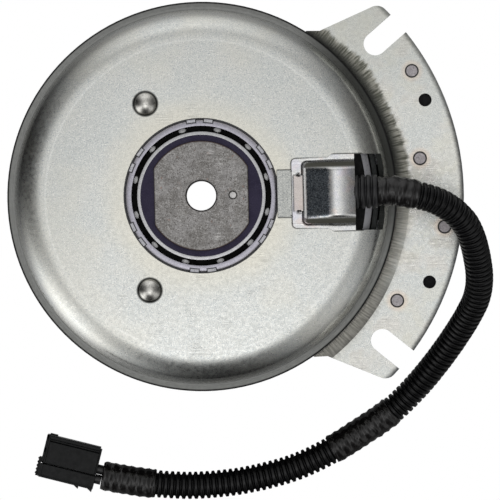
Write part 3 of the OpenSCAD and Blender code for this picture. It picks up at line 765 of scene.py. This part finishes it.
def cup_zinc():
    """The cup's plating: warm round the bearing's seat, dull on the rim, a painted highlight along the
    crease, painted shadow and grime lines where the cover and the rivet heads sit, and painted shade on the
    notch's ledge, the rim's upper right, the wall's foot and the rim's outer edge.
    """
    finish = zinc_finish("cup_zinc")
    radius, height = finish.radius, finish.height
    finish.tint(radius.fade(30.0, 42.0, 0.45), (0.76, 0.72, 0.60))
    crease = abs(radius - CREASE_RADIUS).fade(0.0, 0.9)
    # Painted highlight: a pale line along the crease where the top face turns down
    finish.tint(crease * 0.18, (0.93, 0.93, 0.90))

    # Painted shadow with some grime: dark lines on the cup round the cover's frame, tabs and tongue, and
    # round the rivet heads
    shadow_and_grime_lines = [
        finish.box_distance(FRAME_START, COVER_REACH, FRAME_HALF, 1.5).fade(0.1, 0.70, 0.90),
        finish.box_distance(TAB_START + 1.8, COVER_REACH, TAB_HALF, 1.2).fade(0.1, 0.70, 0.90),
        finish.box_distance(TONGUE_START, 36, TONGUE_HALF, 0.2).fade(0.0, 0.40, 0.80),
    ]
    shadow_and_grime_lines += [finish.distance(*point).fade(4.7, 5.3, 0.9) for point in CUP_RIVETS]
    on_top = height.range(69.0, 70.0)
    for line in shadow_and_grime_lines:
        finish.tint(line * on_top, (0.035, 0.036, 0.034))
    # Painted shade: the ledge at the foot of the notch painted nearly black
    notch = finish.box_distance(57, 76, 14.7, 0.1).fade(-0.1, 0.1)
    finish.tint(height.band(56.9, 57.2, 58.5, 58.9) * notch, (0.02, 0.021, 0.02))

    rim = height.fade(*RIM_HEIGHTS)
    # The rim's own dull zinc; the mixes below add painted shade to it
    dull = finish.mix(finish.noise(1.5, 3.0), (0.31, 0.315, 0.305), (0.45, 0.455, 0.44))
    # Painted shade: the rim darkened towards the upper right
    shaded = finish.distance(115, 45).fade(54.0, 85.0, 0.92)
    dull = finish.mix(shaded, dull, (0.06, 0.062, 0.056))
    # Painted shade: a dark line at the foot of the wall
    foot = radius.band(70.4, 70.9, 71.8, 72.6)
    dull = finish.mix(foot * 0.6, dull, grey(0.03))
    finish.tint(rim, dull)
    # Painted shade: a dark line along the rim's outer edge
    finish.tint(rim * radius.range(74.3, 74.8), grey(0.03))

    finish.gloss(*ZINC_GLOSS, extra=rim * 0.35)
    finish.drive("Metallic", height.range(*RIM_HEIGHTS, 0.2, 1.0))
    finish.drive("Specular IOR Level", height.range(40.0, 44.0, 0.0, 0.5))
    finish.grain(0.5, 0.006, stretch=(1, 0.02, 1), at=finish.around())
    finish.bump(crease, 0.03)
    curved = radius.range(61.0, 65.0) * height.range(59.0, 63.0)
    finish.bump(finish.noise(0.5) * curved, 0.025)
    dome = finish.math("MINIMUM", radius * (1 / DOME_RADIUS), 1.0)
    finish.bump(dome * dome * -1.0, DOME_RISE)
    return finish.done()


def flange_zinc(rivets):
    """The brake plate's plating: painted shade along its rolled outer edge, a halo at each rivet, drag marks
    on the joggle with painted shade on it, and painted shade on the plate's upper part and on steep edge
    faces towards the bottom.
    """
    finish = zinc_finish("flange_zinc")
    radius = finish.radius
    for size, tint, share in ((9.0, (0.74, 0.68, 0.61), 0.30), (6.0, (0.72, 0.70, 0.59), 0.25)):
        finish.tint(finish.noise(size).range(0.50, 0.66, 0.0, share), tint)
    for point in rivets:
        away = finish.distance(*point)
        finish.tint(away.fade(2.9, 5.0, 0.45), (0.76, 0.60, 0.48))
        finish.tint(away.fade(2.6, 2.85, 0.95), grey(0.02))
    # Painted shade: the outer edge darkened where it rolls over
    edge_roll_shade = radius + finish.noise(1.0, 3.0) * 0.8
    finish.tint(edge_roll_shade.range(99.0, 101.2, 0.0, 0.92), (0.03, 0.032, 0.035))

    # The joggle band: drag streaks, with painted shade that makes its upper side darker
    at = finish.around()
    streaks = finish.noise(0.55, stretch=(0.08, 1, 1), at=at).range(0.35, 0.65)
    fingers = finish.noise(0.9, 3.0, stretch=(0.12, 1, 1), at=at) * 4.0
    drift = finish.noise(14.0, 1.0) * 4.0
    outer = radius + fingers + drift
    upper = finish.y.range(-30, 12)
    soft, crisp = outer.fade(79.0, 86.5), outer.fade(83.4, 85.2)
    drag_marks_and_shade = soft * (1.0 - upper) + crisp * upper
    light = finish.mix(streaks, (0.42, 0.41, 0.37), (0.66, 0.64, 0.59))
    marked_and_shaded = finish.mix(streaks, (0.21, 0.215, 0.175), (0.60, 0.585, 0.52))
    # Painted shade: darkest next to the cup's rim
    dark = finish.mix(radius.range(75.5, 79.5), (0.11, 0.112, 0.102), marked_and_shaded)
    # Painted shade: the upper part of the plate darkened
    finish.tint(finish.y.range(10, 80, 0.0, 0.45), (0.34, 0.35, 0.32))
    # Painted shade: steep edge faces darkened towards the bottom
    edges = finish.steepness(0.995, 0.93) * finish.y.fade(-45, -25, 0.95)
    finish.tint(edges, (0.02, 0.02, 0.022))
    finish.tint(drag_marks_and_shade, finish.mix(upper, light, dark))

    sunk = FLANGE_TOP - finish.height
    finish.bump(sunk * radius.fade(86.0, 88.0), 0.9)
    finish.bump(streaks * drag_marks_and_shade, 0.10)
    finish.gloss(*ZINC_GLOSS, extra=drag_marks_and_shade * 0.3)
    return finish.done()


def bright_zinc():
    """The cover's bright zinc: shiny and wavy, dull on the tongue, tinted on the frame, navy on the ramp as
    a painted reflection, painted shade on the hump's walls, the sheet's edges and the tongue's sides, and a
    painted highlight along the fold at the ramp's foot.
    """
    finish = Finish("bright_zinc", metallic=1.0)
    height = finish.height
    tones = ((0.66, 0.67, 0.68), (0.70, 0.70, 0.68), (0.84, 0.83, 0.80), (0.50, 0.52, 0.55))
    finish.tone = finish.speckled(tones, spot=0.35, cloud=4.0)
    for size, tint in ((4.5, (0.80, 0.66, 0.60)), (5.5, (0.66, 0.64, 0.76))):
        finish.tint(finish.noise(size, 1.0).range(0.54, 0.68, 0.0, 0.40), tint)
    bar = finish.box_distance(34.9, 39.0, BAR_HALF, 0.3).fade(-0.6, 0.0, 0.55)
    finish.tint(bar, (0.80, 0.68, 0.62))

    tongue = finish.box_distance(28, FRAME_START, 20, 0.1).fade(-0.1, 0.1)
    worn_tones = ((0.42, 0.43, 0.41), (0.46, 0.47, 0.45), (0.58, 0.58, 0.55), (0.28, 0.29, 0.30))
    finish.tint(tongue, finish.speckled(worn_tones))
    # Painted shade: dark lines just inside the tongue's sides and front
    side = finish.box_distance(28, 70, TONGUE_HALF, 0.1).range(-0.45, -0.15)
    finish.tint(side * tongue * 0.8, grey(0.05))
    finish.bump(finish.noise(0.45) * tongue, 0.05)
    # Painted shadow and sheared dullness: the sheet's lower edge faces darkened where the cover meets the
    # cup
    sheared = height.fade(73.55, 73.95, 0.85) * (1.0 - tongue)
    finish.tint(sheared, grey(0.035))

    # Painted shade: the hump's side walls painted dark olive, with less metal and less gloss
    outside = finish.box_distance(RAMP_FOOT - 3.0, 70, HUMP_HALF - 2.2, 1.6)
    wall = outside.range(-0.4, 0.5) * height.range(74.6, 75.0)
    finish.tint(wall * 0.95, (0.075, 0.075, 0.058))
    # Painted reflection: the ramp painted dark navy with pale speckle, for the dark surroundings it faces
    ramp = finish.box_distance(RAMP_FOOT + 0.5, RAMP_END + 1.2, HUMP_HALF - 2.6, 1.6)
    ragged = ramp + finish.noise(0.7, 4.0) * 3.0
    ramp_speckle = finish.noise(0.40, 1.0).range(0.35, 0.65)
    navy = finish.mix(ramp_speckle, (0.08, 0.11, 0.15), (0.50, 0.56, 0.62))
    finish.tint(ragged.fade(1.0, 2.0, 0.92), navy)
    # Painted highlight: a white line, not metal, along the fold at the ramp's foot
    fold = finish.box_distance(RAMP_FOOT - 0.25, RAMP_FOOT + 0.45, HUMP_HALF - 2.2, 0.3).fade(-0.1, 0.15)
    finish.tint(fold, (0.98, 0.98, 0.97))

    finish.drive("Metallic", 1.0 - finish.math("MAXIMUM", fold, wall))
    finish.drive("Specular IOR Level", (1.0 - wall) * 0.5)
    finish.grain(0.35, 0.016)
    finish.grain(3.2, 0.06)
    finish.gloss(0.8, 0.16, 0.30)
    return finish.done()


def steel(name, tones, rough, grain, depth, turned=False, metallic=1.0):
    """Bare metal in four tones, with a fine grain, and with turned rings if it was machined."""
    finish = Finish(name, metallic=metallic)
    finish.tone = finish.speckled(tones, spot=0.5, cloud=6.0)
    finish.grain(grain, depth)
    if turned:
        finish.rings(depth * 1.5)
    finish.gloss(1.2, *rough)
    return finish.done()


def sintered():
    """Oil-soaked sintered steel: grey-brown and full of specks, with painted shade at the bore's rim and
    along the flats.
    """
    finish = Finish("sintered_steel", metallic=0.85)
    tones = ((0.245, 0.235, 0.225), (0.33, 0.32, 0.315), (0.46, 0.45, 0.44), (0.13, 0.12, 0.11))
    finish.tone = finish.speckled(tones, spot=0.42, cloud=7.0)
    finish.tint(finish.noise(5.0, 3.0).range(0.54, 0.68, 0.0, 0.45), (0.17, 0.16, 0.15))
    finish.tint(finish.noise(1.4, 3.0).range(0.66, 0.76, 0.0, 0.5), (0.28, 0.15, 0.11))
    finish.tint(scratches(finish, 0.7, 10, 0.04) * 0.7, (0.80, 0.79, 0.77))

    end_face = finish.height.range(69.0, 69.5)
    drilled = finish.distance(12, 0)
    rims = [
        # Painted shade: dark at the bore's edge
        (finish.radius.fade(5.9, 6.35), (0.02, 0.018, 0.017)),
        (drilled.fade(1.55, 1.85), (0.03, 0.028, 0.026)),
        (drilled.fade(1.10, 1.35), (0.66, 0.65, 0.64)),
        (finish.radius.range(20.35, 20.75), (0.07, 0.05, 0.045)),
    ]
    for share, tone in rims:
        finish.tint(share * end_face, tone)
    # Painted shade: dark strips along the flats
    flats = finish.box_distance(-17.9, 17.9, 30, 0.1).range(-0.42, -0.15)
    finish.tint(flats * 0.85, (0.06, 0.05, 0.045))
    finish.grain(0.30, 0.030, 3.0)
    finish.gloss(2.0, 0.38, 0.55)
    return finish.done()


def stake_gap(finish):
    """Distance in millimetres outside the nearest of the twelve stakes, six pairs round the bearing."""
    step, apart, middle = math.radians(60), math.radians(6.6), 28.6
    half_length, half_width = 1.75, 0.7
    turned = abs(finish.math("FLOORED_MODULO", finish.angle, step) - step / 2)
    along = abs(turned - apart) * middle
    aside = abs(finish.radius - middle)
    return finish.math("MAXIMUM", along - half_length, aside - half_width)


def ring_steel(name, tone, rolled, staked=False):
    """Polished bearing ring with turned marks. Its face rolls over away from a radius in millimetres."""
    finish = Finish(name, metallic=1.0)
    light = tuple(1.2 * value for value in tone)
    dark = tuple(0.8 * value for value in tone)
    finish.tone = finish.speckled((tone, tone, light, dark), spot=0.4, cloud=5.0)
    # Painted shade: the outer ring dark on and round the stakes' footprints
    if staked:
        finish.tint(stake_gap(finish).fade(0.05, 0.40, 0.95), (0.02, 0.02, 0.022))
    off = finish.radius - rolled
    finish.bump(off * off * -1.0, 0.09)
    finish.rings(0.006)
    finish.gloss(1.2, 0.20, 0.30)
    return finish.done()


def shell_steel():
    """The field shell: painted shade where it is sunk round the bearing, pale on its stakes and its sheared
    wall.
    """
    finish = Finish("shell_steel", metallic=1.0)
    tones = ((0.46, 0.46, 0.48), (0.40, 0.40, 0.43), (0.58, 0.57, 0.60), (0.30, 0.30, 0.33))
    finish.tone = finish.speckled(tones)
    sheared = finish.radius.range(62.3, 62.6)
    finish.tint(sheared, (0.52, 0.52, 0.55))
    # Painted shade: the sunk ring round the bearing darkened between the stakes
    unstaked = stake_gap(finish).range(-0.30, -0.05)
    finish.tint(finish.radius.fade(30.5, 31.0) * unstaked, (0.06, 0.06, 0.063))
    finish.drive("Metallic", 1.0 - sheared * 0.9)
    finish.grain(0.35, 0.010)
    finish.gloss(1.2, 0.26, 0.40)
    return finish.done()


def lens_balls():
    """The balls as seen between the rings: a painted pale lens of light on each, and painted black shade
    outside it.
    """
    finish = Finish("ball_steel", metallic=0.2)
    step, circle, half_length, half_width = math.radians(30), 25.8, 1.45, 0.80
    turned = finish.math("FLOORED_MODULO", finish.angle, step) - step / 2
    along = turned * (circle / half_length)
    aside = (finish.radius - circle) * (1 / half_width)
    oval = along ** 2.0 + aside ** 2.0
    # Painted highlight and shade: a pale lens on each ball, black round it
    lens_edge = oval.range(0.75, 1.15)
    finish.tone = finish.mix(lens_edge, grey(0.60), grey(0.012))
    finish.gloss(1.2, 0.40, 0.60)
    return finish.done()


def rotor_iron():
    """The rotor's disc: turned steel, much darker on the top of its outer ring."""
    finish = Finish("rotor_iron", metallic=1.0)
    finish.tone = finish.speckled(ROTOR_TONES)
    finish.tint(finish.height.range(52.4, 52.8), (0.040, 0.042, 0.042))
    finish.grain(0.35, 0.012)
    finish.rings(0.018)
    finish.gloss(1.2, 0.30, 0.45)
    return finish.done()


def flush_heads(rivets):
    """The flange's flush rivets: grey faces with a dark line round each."""
    finish = Finish("flush_heads", metallic=1.0)
    tones = ((0.34, 0.32, 0.33), (0.39, 0.36, 0.37), (0.48, 0.45, 0.46), (0.26, 0.24, 0.25))
    finish.tone = finish.speckled(tones)
    for point in rivets:
        finish.tint(finish.distance(*point).band(2.05, 2.2, 2.7, 2.9, 0.95), grey(0.012))
    finish.grain(0.3, 0.010)
    finish.gloss(1.2, 0.30, 0.45)
    return finish.done()


def head_steel():
    """The cup rivets' round heads: smooth, with a ring of painted dark reflection and shade round their
    foot.
    """
    finish = Finish("head_steel", metallic=1.0)
    tones = ((0.58, 0.57, 0.54), (0.62, 0.61, 0.57), (0.74, 0.72, 0.68), (0.44, 0.43, 0.41))
    finish.tone = finish.speckled(tones, spot=0.6)
    for point in CUP_RIVETS:
        away = finish.distance(*point)
        # Painted reflection and shade: a dark ring round the foot of each head
        foot = away.range(3.7, 4.4, 0.0, 0.95)
        finish.tint(foot * away.fade(6.0, 6.5), grey(0.03))
    finish.grain(0.5, 0.004)
    finish.gloss(1.2, 0.12, 0.22)
    return finish.done()


def plastic(name, dark, light, rough, grain, depth, specular=0.5, dust=0.0):
    """Moulded plastic or rubber: nearly even, with a fine texture, cloudy gloss and a little dust."""
    finish = Finish(name, specular=specular, coat_roughness=0.18)
    finish.tone = finish.mix(finish.noise(3.5, 4.0).range(0.35, 0.65), dark, light)
    if dust:
        finish.tint(finish.noise(0.35).range(0.66, 0.74, 0.0, dust), (0.35, 0.34, 0.33))
    finish.grain(grain, depth)
    finish.gloss(1.5, *rough)
    return finish.done()


def tape():
    """Wound vinyl tape: brownish black, glossy in streaks, with soft creases along the winding."""
    finish = Finish("black_tape")
    finish.tone = finish.mix(finish.noise(4.0, 3.0), (0.0035, 0.003, 0.003), (0.009, 0.008, 0.008))
    finish.grain(0.5, 0.012)
    finish.grain(3.0, 0.60, 3.0, stretch=(1, 0.3, 1), turn=(20, 10, 35))
    finish.gloss(2.0, 0.06, 0.20)
    return finish.done()


def friction_lining():
    """Moulded lining: brown, with short pale fibres and brass chips."""
    finish = Finish("friction_material")
    tones = ((0.16, 0.10, 0.07), (0.24, 0.17, 0.12), (0.42, 0.33, 0.24), (0.08, 0.05, 0.04))
    finish.tone = finish.speckled(tones)
    finish.tint(finish.noise(0.8, 1.0).range(0.68, 0.72), (0.60, 0.45, 0.20))
    finish.grain(0.5, 0.06, 3.0)
    finish.gloss(2.0, 0.65, 0.85, detail=2.0)
    return finish.done()


def coated(name, dark, light, fleck, rough, depth, metallic=0.25, coat=0.25, specular=0.5):
    """A coating over steel: a soft orange-peel surface with cloudy tone and fine flecks."""
    finish = Finish(name, metallic=metallic, specular=specular, coat=coat, coat_roughness=0.2)
    finish.tone = finish.speckled((dark, light, fleck, dark), spot=0.4, cloud=7.0)
    finish.grain(1.1, depth)
    finish.gloss(2.5, *rough)
    return finish.done()


ROTOR_TONES = ((0.34, 0.34, 0.37), (0.40, 0.40, 0.42), (0.55, 0.54, 0.56), (0.24, 0.24, 0.27))
BLACK = (0.006, 0.006, 0.007)
# Metals by slot: tones, roughness, size and depth of the grain, and what else differs
METALS = {
    "mild_steel": [
        ((0.50, 0.50, 0.52), (0.44, 0.44, 0.47), (0.64, 0.63, 0.66), (0.33, 0.33, 0.37)),
        (0.26, 0.40), 0.35, 0.010, {"turned": True}],
    "enamelled_copper": [
        ((0.55, 0.22, 0.08), (0.65, 0.30, 0.12), (0.8, 0.45, 0.2), (0.35, 0.12, 0.05)),
        (0.22, 0.35), 0.5, 0.03, {}],
    "flush_rivet_steel": [
        ((0.32, 0.30, 0.31), (0.37, 0.34, 0.35), (0.46, 0.43, 0.44), (0.24, 0.22, 0.23)),
        (0.30, 0.45), 0.3, 0.010, {}],
    "bearing_steel": [
        ((0.46, 0.45, 0.52), (0.50, 0.49, 0.55), (0.60, 0.59, 0.64), (0.40, 0.39, 0.46)),
        (0.18, 0.28), 0.25, 0.004, {"turned": True}],
    "ball_steel": [
        (grey(0.62), grey(0.66), grey(0.70), grey(0.56)),
        (0.30, 0.40), 0.4, 0.001, {"metallic": 0.35}],
    "rotor_steel": [ROTOR_TONES, (0.30, 0.45), 0.35, 0.012, {"turned": True}],
    "spring_steel": [
        ((0.24, 0.26, 0.32), (0.30, 0.32, 0.37), (0.42, 0.43, 0.48), (0.17, 0.18, 0.25)),
        (0.20, 0.32), 0.3, 0.006, {}],
    "terminal_brass": [
        ((0.70, 0.52, 0.22), (0.76, 0.58, 0.26), (0.86, 0.70, 0.38), (0.55, 0.38, 0.14)),
        (0.18, 0.3), 0.3, 0.006, {}],
}
# Plastics and rubbers by slot: dark and light tone, roughness, size and depth of the grain, and what else
PLASTICS = {
    "bobbin_plastic": [(0.15, 0.15, 0.14), (0.26, 0.26, 0.24), (0.45, 0.6), 0.4, 0.02, {}],
    "potting_resin": [grey(0.002), (0.004, 0.004, 0.005), (0.35, 0.55), 0.8, 0.05, {"specular": 0.12}],
    "ferrite": [BLACK, (0.012, 0.012, 0.014), (0.45, 0.65), 0.3, 0.03, {"specular": 0.15}],
    "cage_plastic": [grey(0.001), grey(0.003), (0.40, 0.6), 0.5, 0.02, {"specular": 0.06}],
    "seal_rubber": [BLACK, (0.020, 0.020, 0.022), (0.40, 0.6), 0.5, 0.03, {"dust": 0.25}],
    "wire_insulation": [(0.25, 0.010, 0.010), (0.35, 0.020, 0.015), (0.25, 0.4), 0.6, 0.02, {}],
    "sleeve_plastic": [(0.0025, 0.0025, 0.003), (0.005, 0.005, 0.0055), (0.16, 0.30), 0.45, 0.012,
                       {"specular": 0.26, "dust": 0.05}],
    "grommet_rubber": [BLACK, (0.016, 0.016, 0.018), (0.30, 0.45), 0.5, 0.02, {}],
    "connector_plastic": [(0.006, 0.0065, 0.007), (0.010, 0.0105, 0.011), (0.38, 0.52), 0.28, 0.012,
                          {"specular": 0.20, "dust": 0.06}],
    "lead_jacket": [BLACK, (0.016, 0.016, 0.017), (0.25, 0.4), 0.6, 0.02, {}],
}


def make_materials():
    """One material for each slot that has nodes without a finish of their own."""
    made = {
        "bright_zinc_steel": bright_zinc(),
        "sintered_steel": sintered(),
        "violet_washer": coated("violet_washer", (0.022, 0.017, 0.045), (0.030, 0.024, 0.058),
                                (0.045, 0.036, 0.080), (0.40, 0.55), 0.008, metallic=0.1, coat=0.0,
                                specular=0.25),
        "friction_material": friction_lining(),
        "pulley_paint": coated("pulley_paint", (0.012, 0.012, 0.013), (0.020, 0.020, 0.022),
                               (0.045, 0.045, 0.048), (0.32, 0.46), 0.035),
        "black_tape": tape(),
    }
    for make, table in ((steel, METALS), (plastic, PLASTICS)):
        for slot, (*look, others) in table.items():
            made[slot] = make(slot, *look, **others)
    return made


# The flange's flush rivets lie in two packs: their places in a pack, and each pack's turn in degrees
RIVET_PACKS = [(83.9, -15.5), (92.7, 17.2)]
PACK_ANGLES = (-19, 19)
HIDDEN_NODES = {
    "coil_bobbin", "coil_winding", "coil_potting", "field_bearing_balls", "field_bearing_cage",
    "pulley_bearing_balls", "pulley_bearing_cages", "lead_wires", "connector_terminals",
}
# Edge roundings of the CAD nodes in view
EDGE = {"brake_plate": 0.55, "cup_housing": 0.22, "rotor_hub": 0.25, "pulley_hub": 0.4, "upper_sheave": 0.4,
        "lower_sheave": 0.4, "armature_plate": 0.3, "rotor_disc": 0.25, "brake_pole_shoes": 0.3}
PLAIN_EDGE = 0.12


def paint_nodes(materials):
    """Gives every CAD node its material, and rounds the edges of the ones in view."""
    rivets = []
    for turn in PACK_ANGLES:
        for x, y in RIVET_PACKS:
            spot = Matrix.Rotation(math.radians(turn), 3, "Z") @ Vector((x, y, 0))
            rivets.append((spot.x, spot.y))
    special = {
        "cup_housing": cup_zinc(),
        "cup_rivets": head_steel(),
        "brake_plate": flange_zinc(rivets),
        "brake_rivets": flush_heads(rivets),
        "rotor_disc": rotor_iron(),
        "field_bearing_balls": lens_balls(),
        "field_shell": shell_steel(),
        "field_bearing_outer_ring": ring_steel("outer_ring_steel", (0.40, 0.39, 0.44), 27.2, staked=True),
        "field_bearing_inner_ring": ring_steel("inner_ring_steel", (0.46, 0.46, 0.47), 23.5),
    }
    for name, obj in frame["nodes"].items():
        obj.data.materials.clear()
        obj.data.materials.append(special.get(name) or materials[SLOT_OF_NODE[name]])
        if name not in HIDDEN_NODES and not obj.hide_render:
            soften_cad(obj, EDGE.get(name, PLAIN_EDGE))


def paint_pieces(pieces, materials):
    """Gives the new pieces the material of their slot."""
    for obj in pieces:
        obj.data.materials.append(materials[obj["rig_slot"]])


# ---------- floor and light ----------

# Light by height: place from straight down, 0, to straight up, 1, and brightness
OVERHEAD = [(0.0, 0.01), (0.30, 0.01), (0.525, 0.028), (0.735, 0.085), (0.86, 0.25), (0.92, 0.47),
            (0.983, 0.96), (1.0, 1.10)]
# How strongly the panels round the room show at each height
PANEL_HEIGHT = [(0.0, 0.15), (0.30, 0.30), (0.525, 0.86), (0.735, 1.0), (0.86, 0.64), (0.92, 0.25),
                (0.985, 0.0)]
# Panels round the room: azimuth in degrees, sharpness and brightness
PANELS = [(94, 5, 1.15), (60, 12, 0.30), (117, 14, 0.20), (219, 16, 1.55), (321, 12, 0.85), (25, 10, 0.12)]
# Lamps: azimuth and height in degrees, sharpness and brightness
LAMPS = [(270, 68, 25, 1.25), (220, -12, 10, 0.80)]


def curve(nodes, place, stops):
    """Brightness at a place from 0 to 1, between stops."""
    ramp = nodes.add("ValToRGB")
    elements = ramp.color_ramp.elements
    elements.remove(elements[1])
    for i, (at, value) in enumerate(stops):
        element = elements[0] if i == 0 else elements.new(at)
        element.position = at
        element.color = (*grey(value), 1)
    nodes.set(ramp.inputs[0], place)
    return Value(nodes, ramp.outputs[0])


def lobe(nodes, facing, axis, sharpness, brightness):
    """A soft round light in one direction."""
    near = nodes.math("MAXIMUM", nodes.vector("DOT_PRODUCT", facing, axis), 0.0)
    return near ** sharpness * brightness


def room_light(nodes, outward):
    """Brightness of the room in a direction, for the world and for the floor's reflection."""
    facing = nodes.vector("NORMALIZE", outward)
    level = nodes.vector("NORMALIZE", nodes.vector("MULTIPLY", facing, (1, 1, 0)))
    place = nodes.parts(facing)[2] * 0.5 + 0.5
    panels = 0.0
    for azimuth, sharpness, brightness in PANELS:
        turn = math.radians(azimuth)
        axis = (math.cos(turn), math.sin(turn), 0)
        panels = lobe(nodes, level, axis, sharpness, brightness) + panels
    panels = panels * curve(nodes, place, PANEL_HEIGHT)
    total = curve(nodes, place, OVERHEAD) + panels
    for azimuth, height, sharpness, brightness in LAMPS:
        turn, lift = math.radians(azimuth), math.radians(height)
        axis = (math.cos(turn) * math.cos(lift), math.sin(turn) * math.cos(lift), math.sin(lift))
        total = lobe(nodes, facing, axis, sharpness, brightness) + total
    return total


def room_shader(nodes, kind, direction, tone):
    """Shows the camera a plain tone, and everything else the light of the room."""
    seen = nodes.add("LightPath").outputs["Is Camera Ray"]
    room, plain = nodes.add(kind), nodes.add(kind)
    nodes.set(room.inputs["Strength"], room_light(nodes, direction))
    plain.inputs["Color"].default_value = (*grey(tone), 1)
    plain.inputs["Strength"].default_value = 1.0
    mix = nodes.add("MixShader")
    for socket, value in zip(mix.inputs, (seen, room.outputs[0], plain.outputs[0])):
        nodes.set(socket, value)
    return mix.outputs[0]


def add_floor():
    """A plain pale floor under the clutch. In reflections it shows the room's light instead of its tone."""
    half, drop, eye = 6000, 0.05, 0.06
    corners = [(-half, -half, 0), (half, -half, 0), (half, half, 0), (-half, half, 0)]
    floor = new_piece("floor", corners, [(0, 1, 2, 3)], body=None)
    floor.location.z = -drop * MM
    material = bpy.data.materials.new("pale_floor")
    material.use_nodes = True
    nodes = Nodes(material.node_tree)
    nodes.tree.nodes.clear()
    outward = nodes.vector("SUBTRACT", nodes.add("NewGeometry").outputs["Position"], (0, 0, eye))
    out = nodes.add("OutputMaterial")
    nodes.set(out.inputs["Surface"], room_shader(nodes, "Emission", outward, 1.0))
    floor.data.materials.append(material)


def add_light():
    """A pale studio: bright overhead, dim round the horizon but for a few soft panels."""
    world = bpy.data.worlds.new("studio")
    SCENE.world = world
    world.use_nodes = True
    nodes = Nodes(world.node_tree)
    nodes.tree.nodes.clear()
    direction = nodes.add("TexCoord").outputs["Generated"]
    out = nodes.add("OutputWorld")
    nodes.set(out.inputs["Surface"], room_shader(nodes, "Background", direction, 0.92))


# ---------- the scene ----------

SCENE.view_settings.view_transform = "Standard"
add_camera()
sleeve, tapes, cable_points, cable_length = add_cable()
cover = add_cover()
grommet = add_grommet()
plug_body = add_plug_body()
plug_lock = add_plug_lock()
round(cable_length * MM, 3)
[point * MM for point in cable_points]
finishes = make_materials()
paint_pieces([sleeve, *tapes, cover, grommet, plug_body, plug_lock], finishes)
paint_nodes(finishes)
add_floor()
add_light()
